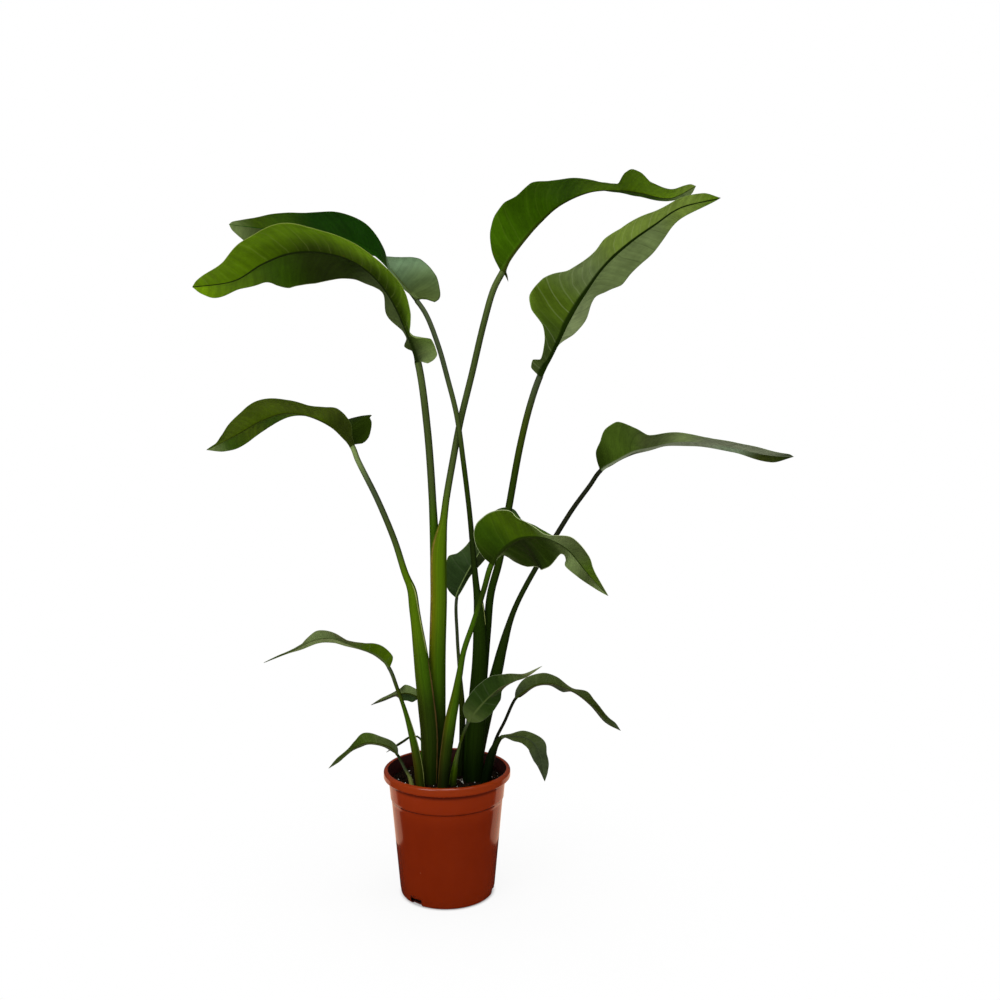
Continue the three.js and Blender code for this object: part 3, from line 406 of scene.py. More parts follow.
        "girth": [[215, 9, 7], [250, 9.3, 7], [278, 8, 6], [300, 5, 4], [312, 3.7, 3.4]],
        "keel": 1.5, "bow": 1, "lag": 2,
        "right": [[0, 2, -2], [0.09, 9, -9], [0.17, 14, -11], [0.32, 18, -14], [0.51, 18, -13],
            [0.7, 15, -8], [0.8, 9, -10], [1, 0, 0]],
        "left": [[0, 3, 3], [0.17, 9, 14], [0.31, 15.5, 15], [0.41, 17, 14], [0.53, 19, 10],
            [0.66, 13, 13], [0.77, 12, 9], [0.88, 8, 5], [1, 0, 0]],
    },
]

# Plant colours as 8-bit red, green and blue.
PALETTE = {
    "lime": (110, 146, 8),
    "fresh": (87, 119, 4),
    "leaf": (67, 93, 4),
    "fern": (57, 92, 2),
    "green": (50, 78, 4),
    "forest": (27, 76, 1),
    "olive": (48, 60, 8),
    "dark": (34, 50, 5),
    "herb": (56, 68, 30),
    "bottle": (38, 58, 17),
    "turf": (66, 88, 24),
    "meadow": (84, 108, 24),
    "amber": (118, 102, 20),
    "reed": (68, 88, 4),
    "mist": (80, 103, 73),
    "moss": (72, 86, 42),
    "sage": (112, 130, 76),
    "pale": (121, 144, 55),
    "silver": (136, 152, 100),
    "grey": (118, 136, 106),
    "ash": (116, 124, 98),
    "slate": (58, 68, 44),
    "blue": (46, 66, 32),
    "night": (26, 38, 8),
    "pine": (24, 42, 3),
    "coal": (25, 28, 17),
    "ink": (8, 20, 4),
    "cream": (196, 206, 156),
    "straw": (134, 144, 74),
    "rust": (98, 56, 22),
    "bark": (84, 64, 16),
}

# The finish of each blade, with colours named from the palette. right and left: the underside's halves
# from the stalk to the tip, in colours that are partly the leaf's own and partly painted light and shade.
# top: the upper side. rib: the rib below, and rib_wide how many times as wide it is, where it isn't 1.
# edge: the margin. veins: the streaks, and how much they show on each half, where a share below 0 makes
# them pale. shade: how much painted shade darkens each half beside the rib.
LOOKS = {
    "leaf_01": {
        "right": "sage fresh fresh lime fresh fresh fresh fresh",
        "left": "olive moss moss dark dark green fresh lime",
        "top": "sage sage leaf leaf green green",
        "rib": "night", "edge": "straw", "veins": ("straw", 0.15, 0.0), "shade": (0.8, 0.0),
    },
    "leaf_02": {
        "right": "slate moss forest forest forest fern leaf sage",
        "left": "slate moss forest forest forest leaf moss sage",
        "top": "moss mist moss leaf sage sage",
        "rib": "forest", "edge": "olive", "veins": ("night", 0.1, 0.1), "shade": (0.25, 0.05),
    },
    "leaf_03": {
        "right": "olive green leaf green green sage",
        "left": "green fern fern fern fresh fresh lime pale",
        "top": "leaf green",
        "rib": "olive", "edge": "moss", "veins": ("pale", 0.05, 0.1), "shade": (0.0, 0.0),
    },
    "leaf_04": {
        "right": "grey silver silver sage sage sage pale fresh",
        "left": "moss turf meadow sage pale pale pale fresh",
        "top": "moss moss leaf leaf green green",
        "rib": "pine", "edge": "sage", "veins": ("moss", 0.4, -0.15), "shade": (0.0, 0.1),
        "rib_wide": 1.7,
    },
    "leaf_05": {
        "right": "olive olive reed reed reed reed reed leaf",
        "left": "dark olive green leaf green reed green sage",
        "top": "dark dark leaf leaf green green",
        "rib": "olive", "edge": "moss", "veins": ("night", 0.1, 0.1), "shade": (0.1, 0.0),
    },
    "leaf_06": {
        "right": "night night ash ash ash grey olive dark",
        "left": "dark turf moss sage ash ash ash slate",
        "top": "leaf green",
        "rib": "ash", "edge": "sage", "veins": ("night", 0.1, 0.15), "shade": (0.0, 0.0),
    },
    "leaf_07": {
        "right": "sage dark night dark moss sage moss sage",
        "left": "dark green leaf leaf sage moss leaf moss",
        "top": "leaf green",
        "rib": "dark", "edge": "cream", "veins": ("pale", 0.03, 0.06), "shade": (0.0, 0.25),
    },
    "leaf_08": {
        "right": "blue night moss sage",
        "left": "blue blue moss blue",
        "top": "green dark",
        "rib": "sage", "edge": "straw", "veins": ("ash", 0.1, 0.1), "shade": (0.2, 0.1),
    },
    "leaf_09": {
        "right": "leaf leaf moss sage green green",
        "left": "dark moss sage sage sage ash",
        "top": "leaf green",
        "rib": "moss", "edge": "ash", "veins": ("ash", 0.1, 0.1), "shade": (0.1, 0.2),
    },
    "leaf_10": {
        "right": "slate moss turf turf moss",
        "left": "slate moss moss moss",
        "top": "leaf green",
        "rib": "olive", "edge": "ash", "veins": ("ash", 0.1, 0.1), "shade": (0.1, 0.2),
    },
    "leaf_11": {
        "right": "sage sage sage slate",
        "left": "blue blue slate slate",
        "top": "green dark",
        "rib": "olive", "edge": "ash", "veins": ("ash", 0.1, 0.1), "shade": (0.1, 0.2),
    },
    "leaf_12": {
        "right": "leaf leaf slate",
        "left": "leaf slate slate",
        "top": "green dark",
        "rib": "olive", "edge": "ash", "veins": ("ash", 0.1, 0.1), "shade": (0.2, 0.2),
    },
    "leaf_13": {
        "right": "sage sage sage",
        "left": "sage sage sage",
        "top": "moss bottle bottle moss sage",
        "rib": "straw", "edge": "ash", "veins": ("ash", 0.1, 0.1), "shade": (0.2, 0.2),
    },
    "leaf_14": {
        "right": "night slate slate slate",
        "left": "slate moss moss olive slate",
        "top": "green dark",
        "rib": "olive", "edge": "ash", "veins": ("ash", 0.1, 0.1), "shade": (0.2, 0.2),
    },
    "leaf_15": {
        "right": "moss moss slate slate",
        "left": "moss moss slate slate",
        "top": "green dark",
        "rib": "slate", "edge": "ash", "veins": ("ash", 0.1, 0.1), "shade": (0.2, 0.2),
    },
}

# Colours of each stalk from the soil to the blade.
STALK_COLOURS = {
    "leaf_01": "olive olive green green green green herb herb moss",
    "leaf_02": "ink pine pine pine night dark herb slate slate",
    "leaf_03": "olive dark green leaf leaf herb herb herb moss",
    "leaf_04": "ink ink pine pine pine dark dark olive slate",
    "leaf_05": "night dark dark green leaf leaf herb slate sage",
    "leaf_06": "ink ink pine pine night night coal coal coal",
    "leaf_07": "night night dark green green green green dark green",
    "leaf_08": "ink night night olive moss slate slate",
    "leaf_09": "olive olive olive green green olive slate",
    "leaf_10": "rust straw straw slate night",
    "leaf_11": "moss green green green green",
    "leaf_12": "olive dark dark dark",
    "leaf_13": "olive olive leaf moss olive slate",
    "leaf_14": "ink ink coal coal",
    "leaf_15": "ink ink ink night",
}

# How far the lower half of a stalk is flushed brown on its left, where it is at all, and what the full
# flush multiplies its colour by.
WARM_STALKS = {"leaf_03": 1.0, "leaf_05": 0.4, "leaf_07": 1.0, "leaf_09": 0.8, "leaf_10": 1.0}
WARM_TONE = (1.9, 1.0, 0.9, 1)

# The dry edges of the sheaths: leaf, name, colour, width in millimetres, and stations from the top down
# of height in millimetres and place across the stalk.
SHEATH_EDGES = [
    ("leaf_03", "left_edge", "amber", 3.4, [(708, -0.7), (640, -0.8), (487, -0.85)]),
    ("leaf_05", "upper_edge", "straw", 2.6, [(598, 0.6), (540, 0.78), (465, 0.86)]),
    ("leaf_05", "lower_edge", "bark", 3.0, [(455, 0.88), (340, 0.86), (215, 0.8)]),
    ("leaf_02", "short_edge", "straw", 1.6, [(558, 0.8), (535, 0.88), (513, 0.92)]),
    ("leaf_09", "right_edge", "straw", 1.6, [(368, 0.92), (300, 0.9), (218, 0.84)]),
    ("leaf_07", "left_edge", "bark", 1.6, [(369, -0.92), (300, -0.9), (233, -0.86)]),
    ("leaf_13", "left_edge", "lime", 1.8, [(285, -0.9), (250, -0.86), (218, -0.8)]),
]

# The pot's colours in linear light: its plastic in two cloudy tones with flow lines, the band, the rim,
# painted shade under the lip and at the step below the band, painted shade inside, and dust. Each line
# of painted shade is a height and how far it reaches, in metres.
POT_DARK = (0.165, 0.0122, 0.0, 1)
POT_LIGHT = (0.192, 0.0155, 0.0, 1)
POT_FLOW = (0.22, 0.019, 0.0, 1)
POT_BAND = (0.30, 0.030, 0.003, 1)
POT_RIM = (0.25, 0.027, 0.002, 1)
POT_PAINTED_SHADE = (0.035, 0.002, 0.0004, 1)
POT_INSIDE_SHADE = (0.036, 0.0014, 0.0002, 1)
POT_DUST = (0.6, 0.42, 0.28, 1)
POT_SHADE_LINES = ((0.2205, 0.007), (0.1855, 0.0024))


# Shapes.


def smooth(value, low, high):
    """0 below low, 1 above high, and an S-curve 3w^2 - 2w^3 between them."""
    w = np.clip((value - low) / (high - low), 0, 1)
    return w * w * (3 - 2 * w)


def unit(vectors):
    """Vectors divided by their lengths."""
    return vectors / np.linalg.norm(vectors, axis=-1, keepdims=True)


def full_turn(steps):
    """Angles from 0 to 2 pi in so many steps, both ends included."""
    return 2 * np.pi * np.arange(steps + 1) / steps


def waves(x, y, seed, octaves):
    """Soft noise between about -1 and 1: the sum of sines of turned, growing frequencies over x and y,
    each at half the height of the one before, with phases from the seed."""
    random = np.random.default_rng(seed)
    total = 0
    for k in range(octaves):
        turn, shift = random.uniform(0, 2 * np.pi, (2, 3))
        for a, b in zip(turn, shift):
            total = total + np.sin(2**k * (x * np.cos(a) + y * np.sin(a)) + b) / (3 * 2**k)
    return total


def mesh_piece(name, points, quads, finish, uv=(), marks=()):
    """A piece from an array of points in metres and one of quads. uv: maps of two numbers a point.
    marks: one number a point. Points that meet are joined, which closes seams, poles and tips."""
    mesh = bpy.data.meshes.new(name)
    mesh.from_pydata(points.reshape(-1, 3), [], quads.tolist())
    corners = quads.ravel()
    for title, values in uv:
        layer = mesh.uv_layers.new(name=title)
        layer.data.foreach_set("uv", values.reshape(-1, 2)[corners].ravel().astype(np.float32))
    for title, values in marks:
        layer = mesh.attributes.new(title, "FLOAT", "POINT")
        layer.data.foreach_set("value", values.ravel().astype(np.float32))
    joined = bmesh.new()
    joined.from_mesh(mesh)
    bmesh.ops.remove_doubles(joined, verts=joined.verts, dist=MEETING)
    joined.to_mesh(mesh)
    joined.free()
    mesh.shade_smooth()
    mesh.materials.append(finish)
    piece = bpy.data.objects.new(name, mesh)
    bpy.context.scene.collection.objects.link(piece)
    return piece


def grid_quads(rows, columns):
    """Quads between neighbours of a grid of rows by columns of points, numbered row by row. They face
    the viewer when the columns run to the right and the rows upwards."""
    a = (np.arange(rows - 1)[:, None] * columns + np.arange(columns - 1)).ravel()
    return np.stack([a, a + 1, a + columns + 1, a + columns], 1)


def shell_quads(rows, columns):
    """Quads of a thin closed shell: an upper grid, a lower grid turned over, and the rims between."""
    below = rows * columns
    upper = grid_quads(rows, columns)
    number = np.arange(below).reshape(rows, columns)
    ring = np.concatenate([number[0, :-1], number[:-1, -1], number[-1, :0:-1], number[:0:-1, 0]])
    after = np.roll(ring, -1)
    rims = np.stack([ring, ring + below, after + below, after], 1)
    return np.concatenate([upper[:, ::-1], upper + below, rims[:, ::-1]])


def spline(points):
    """The centripetal Catmull-Rom curve through the points: between two of them, a cubic whose end
    slopes come from the neighbours, weighted by the square roots of their distances."""
    p = np.asarray(points, float)
    q = np.vstack([2 * p[0] - p[1], p, 2 * p[-1] - p[-2]])
    root = np.sqrt(np.linalg.norm(np.diff(q, axis=0), axis=1))[:, None]
    d0, d1, d2 = root[:-2], root[1:-1], root[2:]
    a, b, c, d = q[:-3], q[1:-2], q[2:-1], q[3:]
    m0 = ((b - a) / d0 - (c - a) / (d0 + d1) + (c - b) / d1) * d1
    m1 = ((c - b) / d1 - (d - b) / (d1 + d2) + (d - c) / d2) * d1
    w = (np.arange(SPLINE_STEPS) / SPLINE_STEPS)[:, None, None]
    line = b + m0 * w + (3 * (c - b) - 2 * m0 - m1) * w**2 + (2 * (b - c) + m0 + m1) * w**3
    return np.vstack([line.transpose(1, 0, 2).reshape(-1, 3), p[-1:]])


def leaf_line(leaf):
    """The curve of a leaf from its root to the tip of its blade, the running length at each of its
    points, and the length where the stalk ends."""
    first, second = np.array(leaf["stalk"][:2], float)
    root = first + unit(first - second) * STALK_ROOTED
    line = spline(np.vstack([root, leaf["stalk"], leaf["rib"]]))
    length = np.concatenate([[0], np.cumsum(np.linalg.norm(np.diff(line, axis=0), axis=1))])
    return line, length, length[len(leaf["stalk"]) * SPLINE_STEPS]


def frames(line, length, at):
    """Point, direction, front and side at each running length: the direction is the chord over 1 mm to
    both sides, the front is -Y less its part along the direction, and the side is their cross product."""

    def place(run):
        return np.stack([np.interp(run, length, line[:, k]) for k in range(3)], -1)

    ahead = unit(place(np.minimum(at + 1, length[-1])) - place(np.maximum(at - 1, 0)))
    front = unit(np.array([0, -1.0, 0]) + ahead * ahead[..., 1:2])
    return place(at), ahead, front, np.cross(ahead, front)


def between(stations, t):
    """The values between the stations at each t: a cubic between stations whose slope at each is the
    harmonic mean of the slopes beside it, so that it never swings past one. A value left out is 0."""
    knots, *columns = np.array([(*station, 0)[:4] for station in stations], float).T
    step = np.diff(knots)
    i = np.clip(np.searchsorted(knots, t) - 1, 0, len(step) - 1)
    w = np.clip((t - knots[i]) / step[i], 0, 1)
    curves = []
    for value in columns:
        slope = np.diff(value) / step
        before, after = slope[:-1], slope[1:]
        agree = before * after > 0
        inner = np.where(agree, 2 * before * after / np.where(agree, before + after, 1), 0)
        tangent = np.concatenate([slope[:1], inner, slope[-1:]])
        m0, m1 = tangent[i] * step[i], tangent[i + 1] * step[i]
        rise = value[i + 1] - value[i]
        curves.append(value[i] + rise * w * w * (3 - 2 * w) + w * (1 - w) * (m0 * (1 - w) - m1 * w))
    return curves


def blade_piece(leaf, finish, seed):
    """A blade: rows along the rib by strips across it, from s = -1 at the left margin to 1 at the right
    one. A point lies |s| of the way from the rib to the margin of its half, bowed by bow sin(pi s)
    sin(pi t), drawn back near the stalk by lag s^2, rippled towards the margin by |s|^4 and quilted by
    a sine across the side veins. The rib is a half-ellipse below the blade. At the neck it is round
    above as well, as the stalk is."""
    line, length, joint = leaf_line(leaf)
    rows, half = leaf["grid"]["rows"], leaf["grid"]["half_strips"]
    t = (np.arange(rows + 1) / rows) ** ROW_CROWDING
    start = joint + TOUCH_GAP
    run = (length[-1] - start) * t
    point, ahead, front, side = (v[:, None, :] for v in frames(line, length, start + run))
    top = -1 if leaf.get("top_in_front") else 1
    neck = leaf["girth"][-1][1]
    rib = (neck * (1 - RIB_TAPER * t))[:, None]
    closing = np.sqrt(np.clip((1 - t) / TIP_CLOSING, 0, 1))[:, None]
    halves = []
    for stations, hand in ((leaf["left"], -1), (leaf["right"], 1)):
        out, forth, shift = between(stations, t)
        width = np.maximum(np.hypot(out, forth)[:, None], rib * closing)
        lean = np.arctan2(forth, out)[:, None, None]
        away = hand * np.cos(lean) * side + np.sin(lean) * front
        facing = (hand * np.sin(lean) * side - np.cos(lean) * front) * top
        halves.append((width, away, facing, shift[:, None]))
    strip = np.arange(-half, half + 1)
    s = np.sign(strip) * (np.abs(strip) / half) ** STRIP_CROWDING
    hand, part, along = np.sign(s)[None, :], np.abs(s)[None, :], t[:, None]
    on_right = s > 0
    width, away, plain, shift = (
        np.where(on_right[:, None] if left.ndim == 3 else on_right, right, left)
        for left, right in zip(*halves)
    )
    across = part * width
    fold = smooth(across, 0, FOLD_REACH * rib)[..., None]
    facing = unit(unit(halves[0][2] + halves[1][2]) * (1 - fold) + plain * fold)
    vein = run[:, None] - VEIN_SLANT * across - VEIN_CURVE * across**2
    ripple = waves(run[:, None] / RIPPLE_LENGTH + 3 * hand, hand * 2 + along, seed, 2)
    ripple = ripple * np.minimum(RIPPLE_HEIGHT, RIPPLE_SHARE * width) * part**4 * smooth(along, 0.02, 0.1)
    quilt = QUILT_HEIGHT * np.sin(2 * np.pi * vein / VEIN_STEP + hand)
    quilt = quilt * np.sin(np.pi * part) * smooth(width, 10, 40)
    lift = leaf["bow"] * np.sin(np.pi * part) * np.sin(np.pi * along)
    lift = (lift + ripple + quilt) * closing
    back = (leaf["lag"] * np.sin(np.pi * np.minimum(along / BASE_REACH, 1)) - shift) * part**2
    place = point + away * across[..., None] + facing * lift[..., None] - ahead * back[..., None]
    round_rib = np.sqrt(np.clip(1 - (across / rib) ** 2, 0, 1))
    near = 1 - smooth(along, 0, NECK_END)
    keel = (leaf["keel"] * (1 - RIB_TAPER * along) * (1 - near) + neck * near) * round_rib
    hump = neck * near * round_rib - 0.25 * keel * (1 - near)
    thin = BLADE_THICKNESS / 2
    upper = place + facing * ((thin + hump) * closing)[..., None]
    lower = place - facing * ((thin + keel) * closing)[..., None]
    veins = np.stack([vein, hand * across], -1) * MM
    spot = np.stack(np.broadcast_arrays(along, s), -1)
    quads = shell_quads(rows + 1, 2 * half + 1)
    return mesh_piece(
        leaf["name"] + "_blade_skin",
        np.stack([upper, lower]) * MM,
        quads if top > 0 else quads[:, ::-1],
        finish,
        uv=[("veins", np.stack([veins, veins])), ("spot", np.stack([spot, spot]))],
        marks=[("underside", np.repeat([0, 1], vein.size))],
    )


def stalk_size(leaf, height):
    """Half width and half depth of a stalk at each height."""
    return between(leaf["girth"], height)[:2]


def stalk_piece(leaf, finish):
    """A stalk: an ellipse carried along the leaf's line, wide where it sheathes its neighbours, with
    shallow flutes that follow it: its reach is 1 plus a sine of the angle for each kind of flute."""
    line, length, joint = leaf_line(leaf)
    steps, sides = leaf["grid"]["steps"], leaf["grid"]["sides"]
    at = joint * np.arange(steps + 1) / steps
    point, ahead, front, side = frames(line, length, at)
    wide, deep = stalk_size(leaf, point[:, 2])
    angle = full_turn(sides)
    flute = np.ones(sides + 1)
    for count, height in FLUTES:
        flute += height * np.sin(count * angle)
    ring = point[:, None] + side[:, None] * np.multiply.outer(wide, np.cos(angle) * flute)[..., None]
    ring = ring + front[:, None] * np.multiply.outer(deep, np.sin(angle) * flute)[..., None]
    ends = np.repeat(point[[0, -1]][:, None], sides + 1, 1)
    rings = np.concatenate([ends[:1], ring, ends[1:]])
    run = np.concatenate([[0], at, [joint]])[:, None]
    wrap = angle / (2 * np.pi)
    return mesh_piece(
        leaf["name"] + "_stalk_skin",
        rings * MM,
        grid_quads(steps + 3, sides + 1)[:, ::-1],
        finish,
        uv=[
            ("wrap", np.stack(np.broadcast_arrays(wrap, run * MM), -1)),
            ("spot", np.stack(np.broadcast_arrays(run / joint, wrap), -1)),
        ],
    )


def edge_piece(leaf, name, route, width, finish):
    """A thin raised edge of a sheath, on the front of a stalk: an ellipse carried along the route, whose
    stations, from the top down, are the height and how far across the stalk it lies, from -1 at its
    left to 1 at its right. Its ends thin out by the square root of the distance from them."""
    line, length, joint = leaf_line(leaf)
    heights, across = np.array(route, float)[::-1].T
    height = np.linspace(heights[-1], heights[0], EDGE_STEPS)
    part = np.interp(height, heights, across)
    on_stalk = length <= joint
    at = np.interp(height, line[on_stalk, 2], length[on_stalk])
    point, ahead, front, side = frames(line, length, at)
    wide, deep = stalk_size(leaf, point[:, 2])
    reach = np.sqrt(1 - part**2)
    outward = unit(side * (part / wide)[:, None] + front * (reach / deep)[:, None])
    centre = point + side * (wide * part)[:, None] + front * (deep * reach)[:, None]
    flat = np.cross(outward, ahead)
    along = np.linspace(0, 1, EDGE_STEPS)
    taper = np.sqrt(np.clip(np.minimum(along, 1 - along) / EDGE_END, 0, 1))
    angle = full_turn(EDGE_SIDES)
    ring = centre[:, None] + flat[:, None] * np.multiply.outer(taper * width / 2, np.cos(angle))[..., None]
    thick = np.multiply.outer(taper * EDGE_THICKNESS / 2, np.sin(angle))
    ring = ring + outward[:, None] * thick[..., None]
    return mesh_piece(name, ring * MM, grid_quads(EDGE_STEPS, EDGE_SIDES + 1)[:, ::-1], finish)


def wall_radius(height):
    """The pot's wall leans out evenly with height."""
    return WALL_RADIUS_AT_FLOOR + WALL_TAPER * height


def inner_wall_radius(height):
    """The inner face of the pot's wall."""
    return wall_radius(height) - WALL


def arc(centre, radius, start, end, count):
    """Points on an arc in a profile of radius and height, from one angle in degrees up to, but not with,
    another."""
    angle = np.radians(np.linspace(start, end, count))[:-1]
    return np.stack([centre[0] + radius * np.cos(angle), centre[1] + radius * np.sin(angle)], -1)


def straight(start, end, count):
    """Evenly spaced points of a profile from start up to, but not with, end."""
    return np.linspace(start, end, count, endpoint=False)


def pot_profile():
    """The pot's profile as pairs of radius and height, in five stretches: the underside as far as the
    drain slots, the outside of their stretch, the wall, rim and inner wall above them, the inside of
    their stretch from the top down, and the floor."""
    corner = wall_radius(0) - FOOT_RADIUS
    inner = corner - WALL
    inner_corner = FLOOR + inner
    inner_foot = inner_wall_radius(inner_corner) - inner
    lip = POT_HEIGHT - RIM_LIP
    neck = wall_radius(lip) + BAND_STEP
    inner_neck = (neck - WALL - NECK_EXTRA, lip - NECK_FALL)
    band = (wall_radius(BAND_HEIGHT) + BAND_STEP, BAND_HEIGHT)
    inner_band = (band[0] - WALL, BAND_HEIGHT)
    below_band = BAND_HEIGHT - BAND_FALL
    inner_top = POT_HEIGHT - LIP_INNER_BEVEL
    slot_outside = np.concatenate([
        straight((SLOT_INNER_RADIUS, 0), (FOOT_RADIUS, 0), 4),
        arc((FOOT_RADIUS, corner), corner, -90, 0, 9),
        straight((wall_radius(0), corner), (wall_radius(SLOT_HEIGHT), SLOT_HEIGHT), 3),
    ])
    slot_inside = np.concatenate([
        straight((SLOT_INNER_RADIUS, FLOOR), (inner_foot, FLOOR), 4),
        arc((inner_foot, inner_corner), inner, -90, 0, 9),
        straight(
            (inner_wall_radius(inner_corner), inner_corner),
            (inner_wall_radius(SLOT_HEIGHT), SLOT_HEIGHT),
            3,
        ),
    ])
    wall = np.concatenate([
        straight((wall_radius(SLOT_HEIGHT), SLOT_HEIGHT), (wall_radius(below_band), below_band), 24),
        straight((wall_radius(below_band), below_band), band, 2),
        straight(band, (neck, lip - NECK_FALL), 8),
        arc((neck + NECK_FALL, lip - NECK_FALL), NECK_FALL, 180, 90, 5),
        straight((neck + NECK_FALL, lip), (RIM_RADIUS - LIP_FOOT, lip), 2),
        arc((RIM_RADIUS - LIP_FOOT, lip + LIP_FOOT), LIP_FOOT, -90, 0, 6),
        straight((RIM_RADIUS, lip + LIP_FOOT), (RIM_RADIUS, POT_HEIGHT - LIP_ROUND), 4),
        arc((RIM_RADIUS - LIP_ROUND, POT_HEIGHT - LIP_ROUND), LIP_ROUND, 0, 90, 10),
        straight((RIM_RADIUS - LIP_ROUND, POT_HEIGHT), (RIM_INNER_RADIUS + LIP_INNER_BEVEL, POT_HEIGHT), 2),
        arc((RIM_INNER_RADIUS + LIP_INNER_BEVEL, inner_top), LIP_INNER_BEVEL, 90, 180, 5),
        straight((RIM_INNER_RADIUS, POT_HEIGHT - 2), inner_neck, 5),
        straight(inner_neck, inner_band, 6),
        straight(inner_band, (inner_wall_radius(BAND_HEIGHT), BAND_HEIGHT - 2), 2),
        np.linspace(
            (inner_wall_radius(BAND_HEIGHT - 2), BAND_HEIGHT - 2),
            (inner_wall_radius(SLOT_HEIGHT), SLOT_HEIGHT),
            24,
        ),
    ])
    under = straight((0, 0), (SLOT_INNER_RADIUS, 0), 5)
    floor = np.linspace((SLOT_INNER_RADIUS, FLOOR), (0, FLOOR), 6)
    return under, slot_outside, wall, slot_inside[::-1], floor


def pot_piece(finish):
    """The pot: its profile turned about the axis. Where a column of quads lies in a drain slot, those of
    the profile's two slot stretches are left out, and quads from the outer to the inner stretch close
    the slot's sides, inner end and top."""
    stretches = pot_profile()
    profile = np.concatenate(stretches)
    under, slot, wall = (len(stretch) for stretch in stretches[:3])
    outer_end, outer_top = under, under + slot
    inner_top, inner_end = under + slot + wall - 1, under + slot + wall - 1 + slot
    angle = full_turn(POT_SEGMENTS)
    radius, height = profile[:, :1], profile[:, 1:]
    points = np.stack([radius * np.cos(angle), radius * np.sin(angle), height + 0 * angle], -1)
    spacing = 360 / SLOT_COUNT
    middle = np.degrees(angle[:-1]) + 180 / POT_SEGMENTS
    from_slot = (middle - SLOT_FIRST_ANGLE + spacing / 2) % spacing - spacing / 2
    open_column = np.abs(from_slot) < np.degrees(SLOT_WIDTH / 2 / FOOT_RADIUS)
    quads = grid_quads(len(profile), POT_SEGMENTS + 1)
    row, column = np.divmod(quads[:, 0], POT_SEGMENTS + 1)
    in_stretch = ((row >= outer_end) & (row < outer_top)) | ((row >= inner_top) & (row < inner_end))
    faces = [quads[~(open_column[column] & in_stretch)]]
    number = np.arange(points[..., 0].size).reshape(points.shape[:2])
    begins = np.flatnonzero(open_column & ~np.roll(open_column, 1))
    ends = np.flatnonzero(open_column & ~np.roll(open_column, -1)) + 1
    for columns, turn in ((begins, -1), (ends, 1)):
        a = number[outer_end : outer_top + 1, columns]
        b = number[inner_top : inner_end + 1, columns][::-1]
        faces.append(np.stack([a[:-1], a[1:], b[1:], b[:-1]], -1).reshape(-1, 4)[:, ::turn])
    columns = np.flatnonzero(open_column)
    for outer_row, inner_row, turn in ((outer_end, inner_end, 1), (outer_top, inner_top, -1)):
        a, b = number[outer_row], number[inner_row]
        faces.append(np.stack([a[columns], a[columns + 1], b[columns + 1], b[columns]], -1)[:, ::turn])
    rim_end = np.flatnonzero(profile[:, 1] >= POT_HEIGHT)[-1] + 3
    inside = np.broadcast_to((np.arange(len(profile)) > rim_end)[:, None], points.shape[:2])
    return mesh_piece("pot_skin", points * MM, np.concatenate(faces), finish, marks=[("inside", inside)])


def soil_height(x, y):
    """Height of the soil above its level: SOIL_BUMP times sin(r/17 + 2 cos 3a) cos(r/29 + 2a) +
    0.4 sin(r/6 + 5a), faded by 1 - (r/110)^4 towards the wall, with r the radius and a the angle, as in
    the solid, and finer lumps of the mix, 0.7 high and about 14 long."""
    radius, angle = np.hypot(x, y), np.arctan2(y, x)
    wide = np.sin(radius / 17 + 2 * np.cos(angle * 3)) * np.cos(radius / 29 + angle * 2)
    fine = 0.4 * np.sin(radius / 6 + angle * 5)
    lumps = 0.7 * waves(x / 2.2, y / 2.2, 5, 3)
    return SOIL_BUMP * (wide + fine) * (1 - (radius / 110) ** 4) + lumps


def soil_piece(finish):
    """The soil: rings from the middle of its underside out to the wall, up the wall and in over the
    lumpy top."""

    def edge(height):
        return inner_wall_radius(height) - SOIL_GAP

    levels = [
        (0, FLOOR + SOIL_GAP),
        (edge(SOIL_CORNER) - SOIL_FOOT_INSET, FLOOR + SOIL_GAP),
        (edge(SOIL_CORNER), SOIL_CORNER),
        (edge(SOIL_SHOULDER), SOIL_SHOULDER),
    ]
    profile = np.concatenate([levels, np.linspace((edge(SOIL_TOP), SOIL_TOP), (0, SOIL_TOP), SOIL_RINGS)])
    angle = full_turn(SOIL_SEGMENTS)
    x, y = profile[:, :1] * np.cos(angle), profile[:, :1] * np.sin(angle)
    lift = soil_height(x, y) * (np.arange(len(profile)) > len(levels))[:, None]
    points = np.stack([x, y, profile[:, 1:] + lift], -1)
    return mesh_piece("soil_skin", points * MM, grid_quads(len(profile), SOIL_SEGMENTS + 1), finish)


def lumps_piece(name, centres, sizes, seed, finish):
    """Many small lumps as one piece: a coarse ball whose radius varies by a sine along a drawn
    direction, stretched by 0.6 to 1.3 each way, turned and put down at each centre."""
    random = np.random.default_rng(seed)
    rise, turn = np.meshgrid(
        np.linspace(-np.pi / 2, np.pi / 2, LUMP_ROWS), full_turn(LUMP_COLUMNS - 1), indexing="ij"
    )
    ball = np.stack([np.cos(rise) * np.cos(turn), np.cos(rise) * np.sin(turn), np.sin(rise)], -1)
    ball = ball.reshape(-1, 3)
    count = len(centres)
    turned = np.linalg.qr(random.normal(size=(count, 3, 3)))[0]
    turned *= np.sign(np.linalg.det(turned))[:, None, None]
    stretch = random.uniform(0.6, 1.3, (count, 1, 3))
    rough = 1 + 0.25 * np.sin(ball @ random.normal(size=(3, 1)) * 4)
    grown = ball * rough * stretch * sizes[:, None, None]
    points = np.einsum("nij,nvj->nvi", turned, grown) + centres[:, None]
    quads = grid_quads(LUMP_ROWS, LUMP_COLUMNS) + (np.arange(count) * len(ball))[:, None, None]
    return mesh_piece(name, points * MM, quads.reshape(-1, 4), finish)


# Finishes.


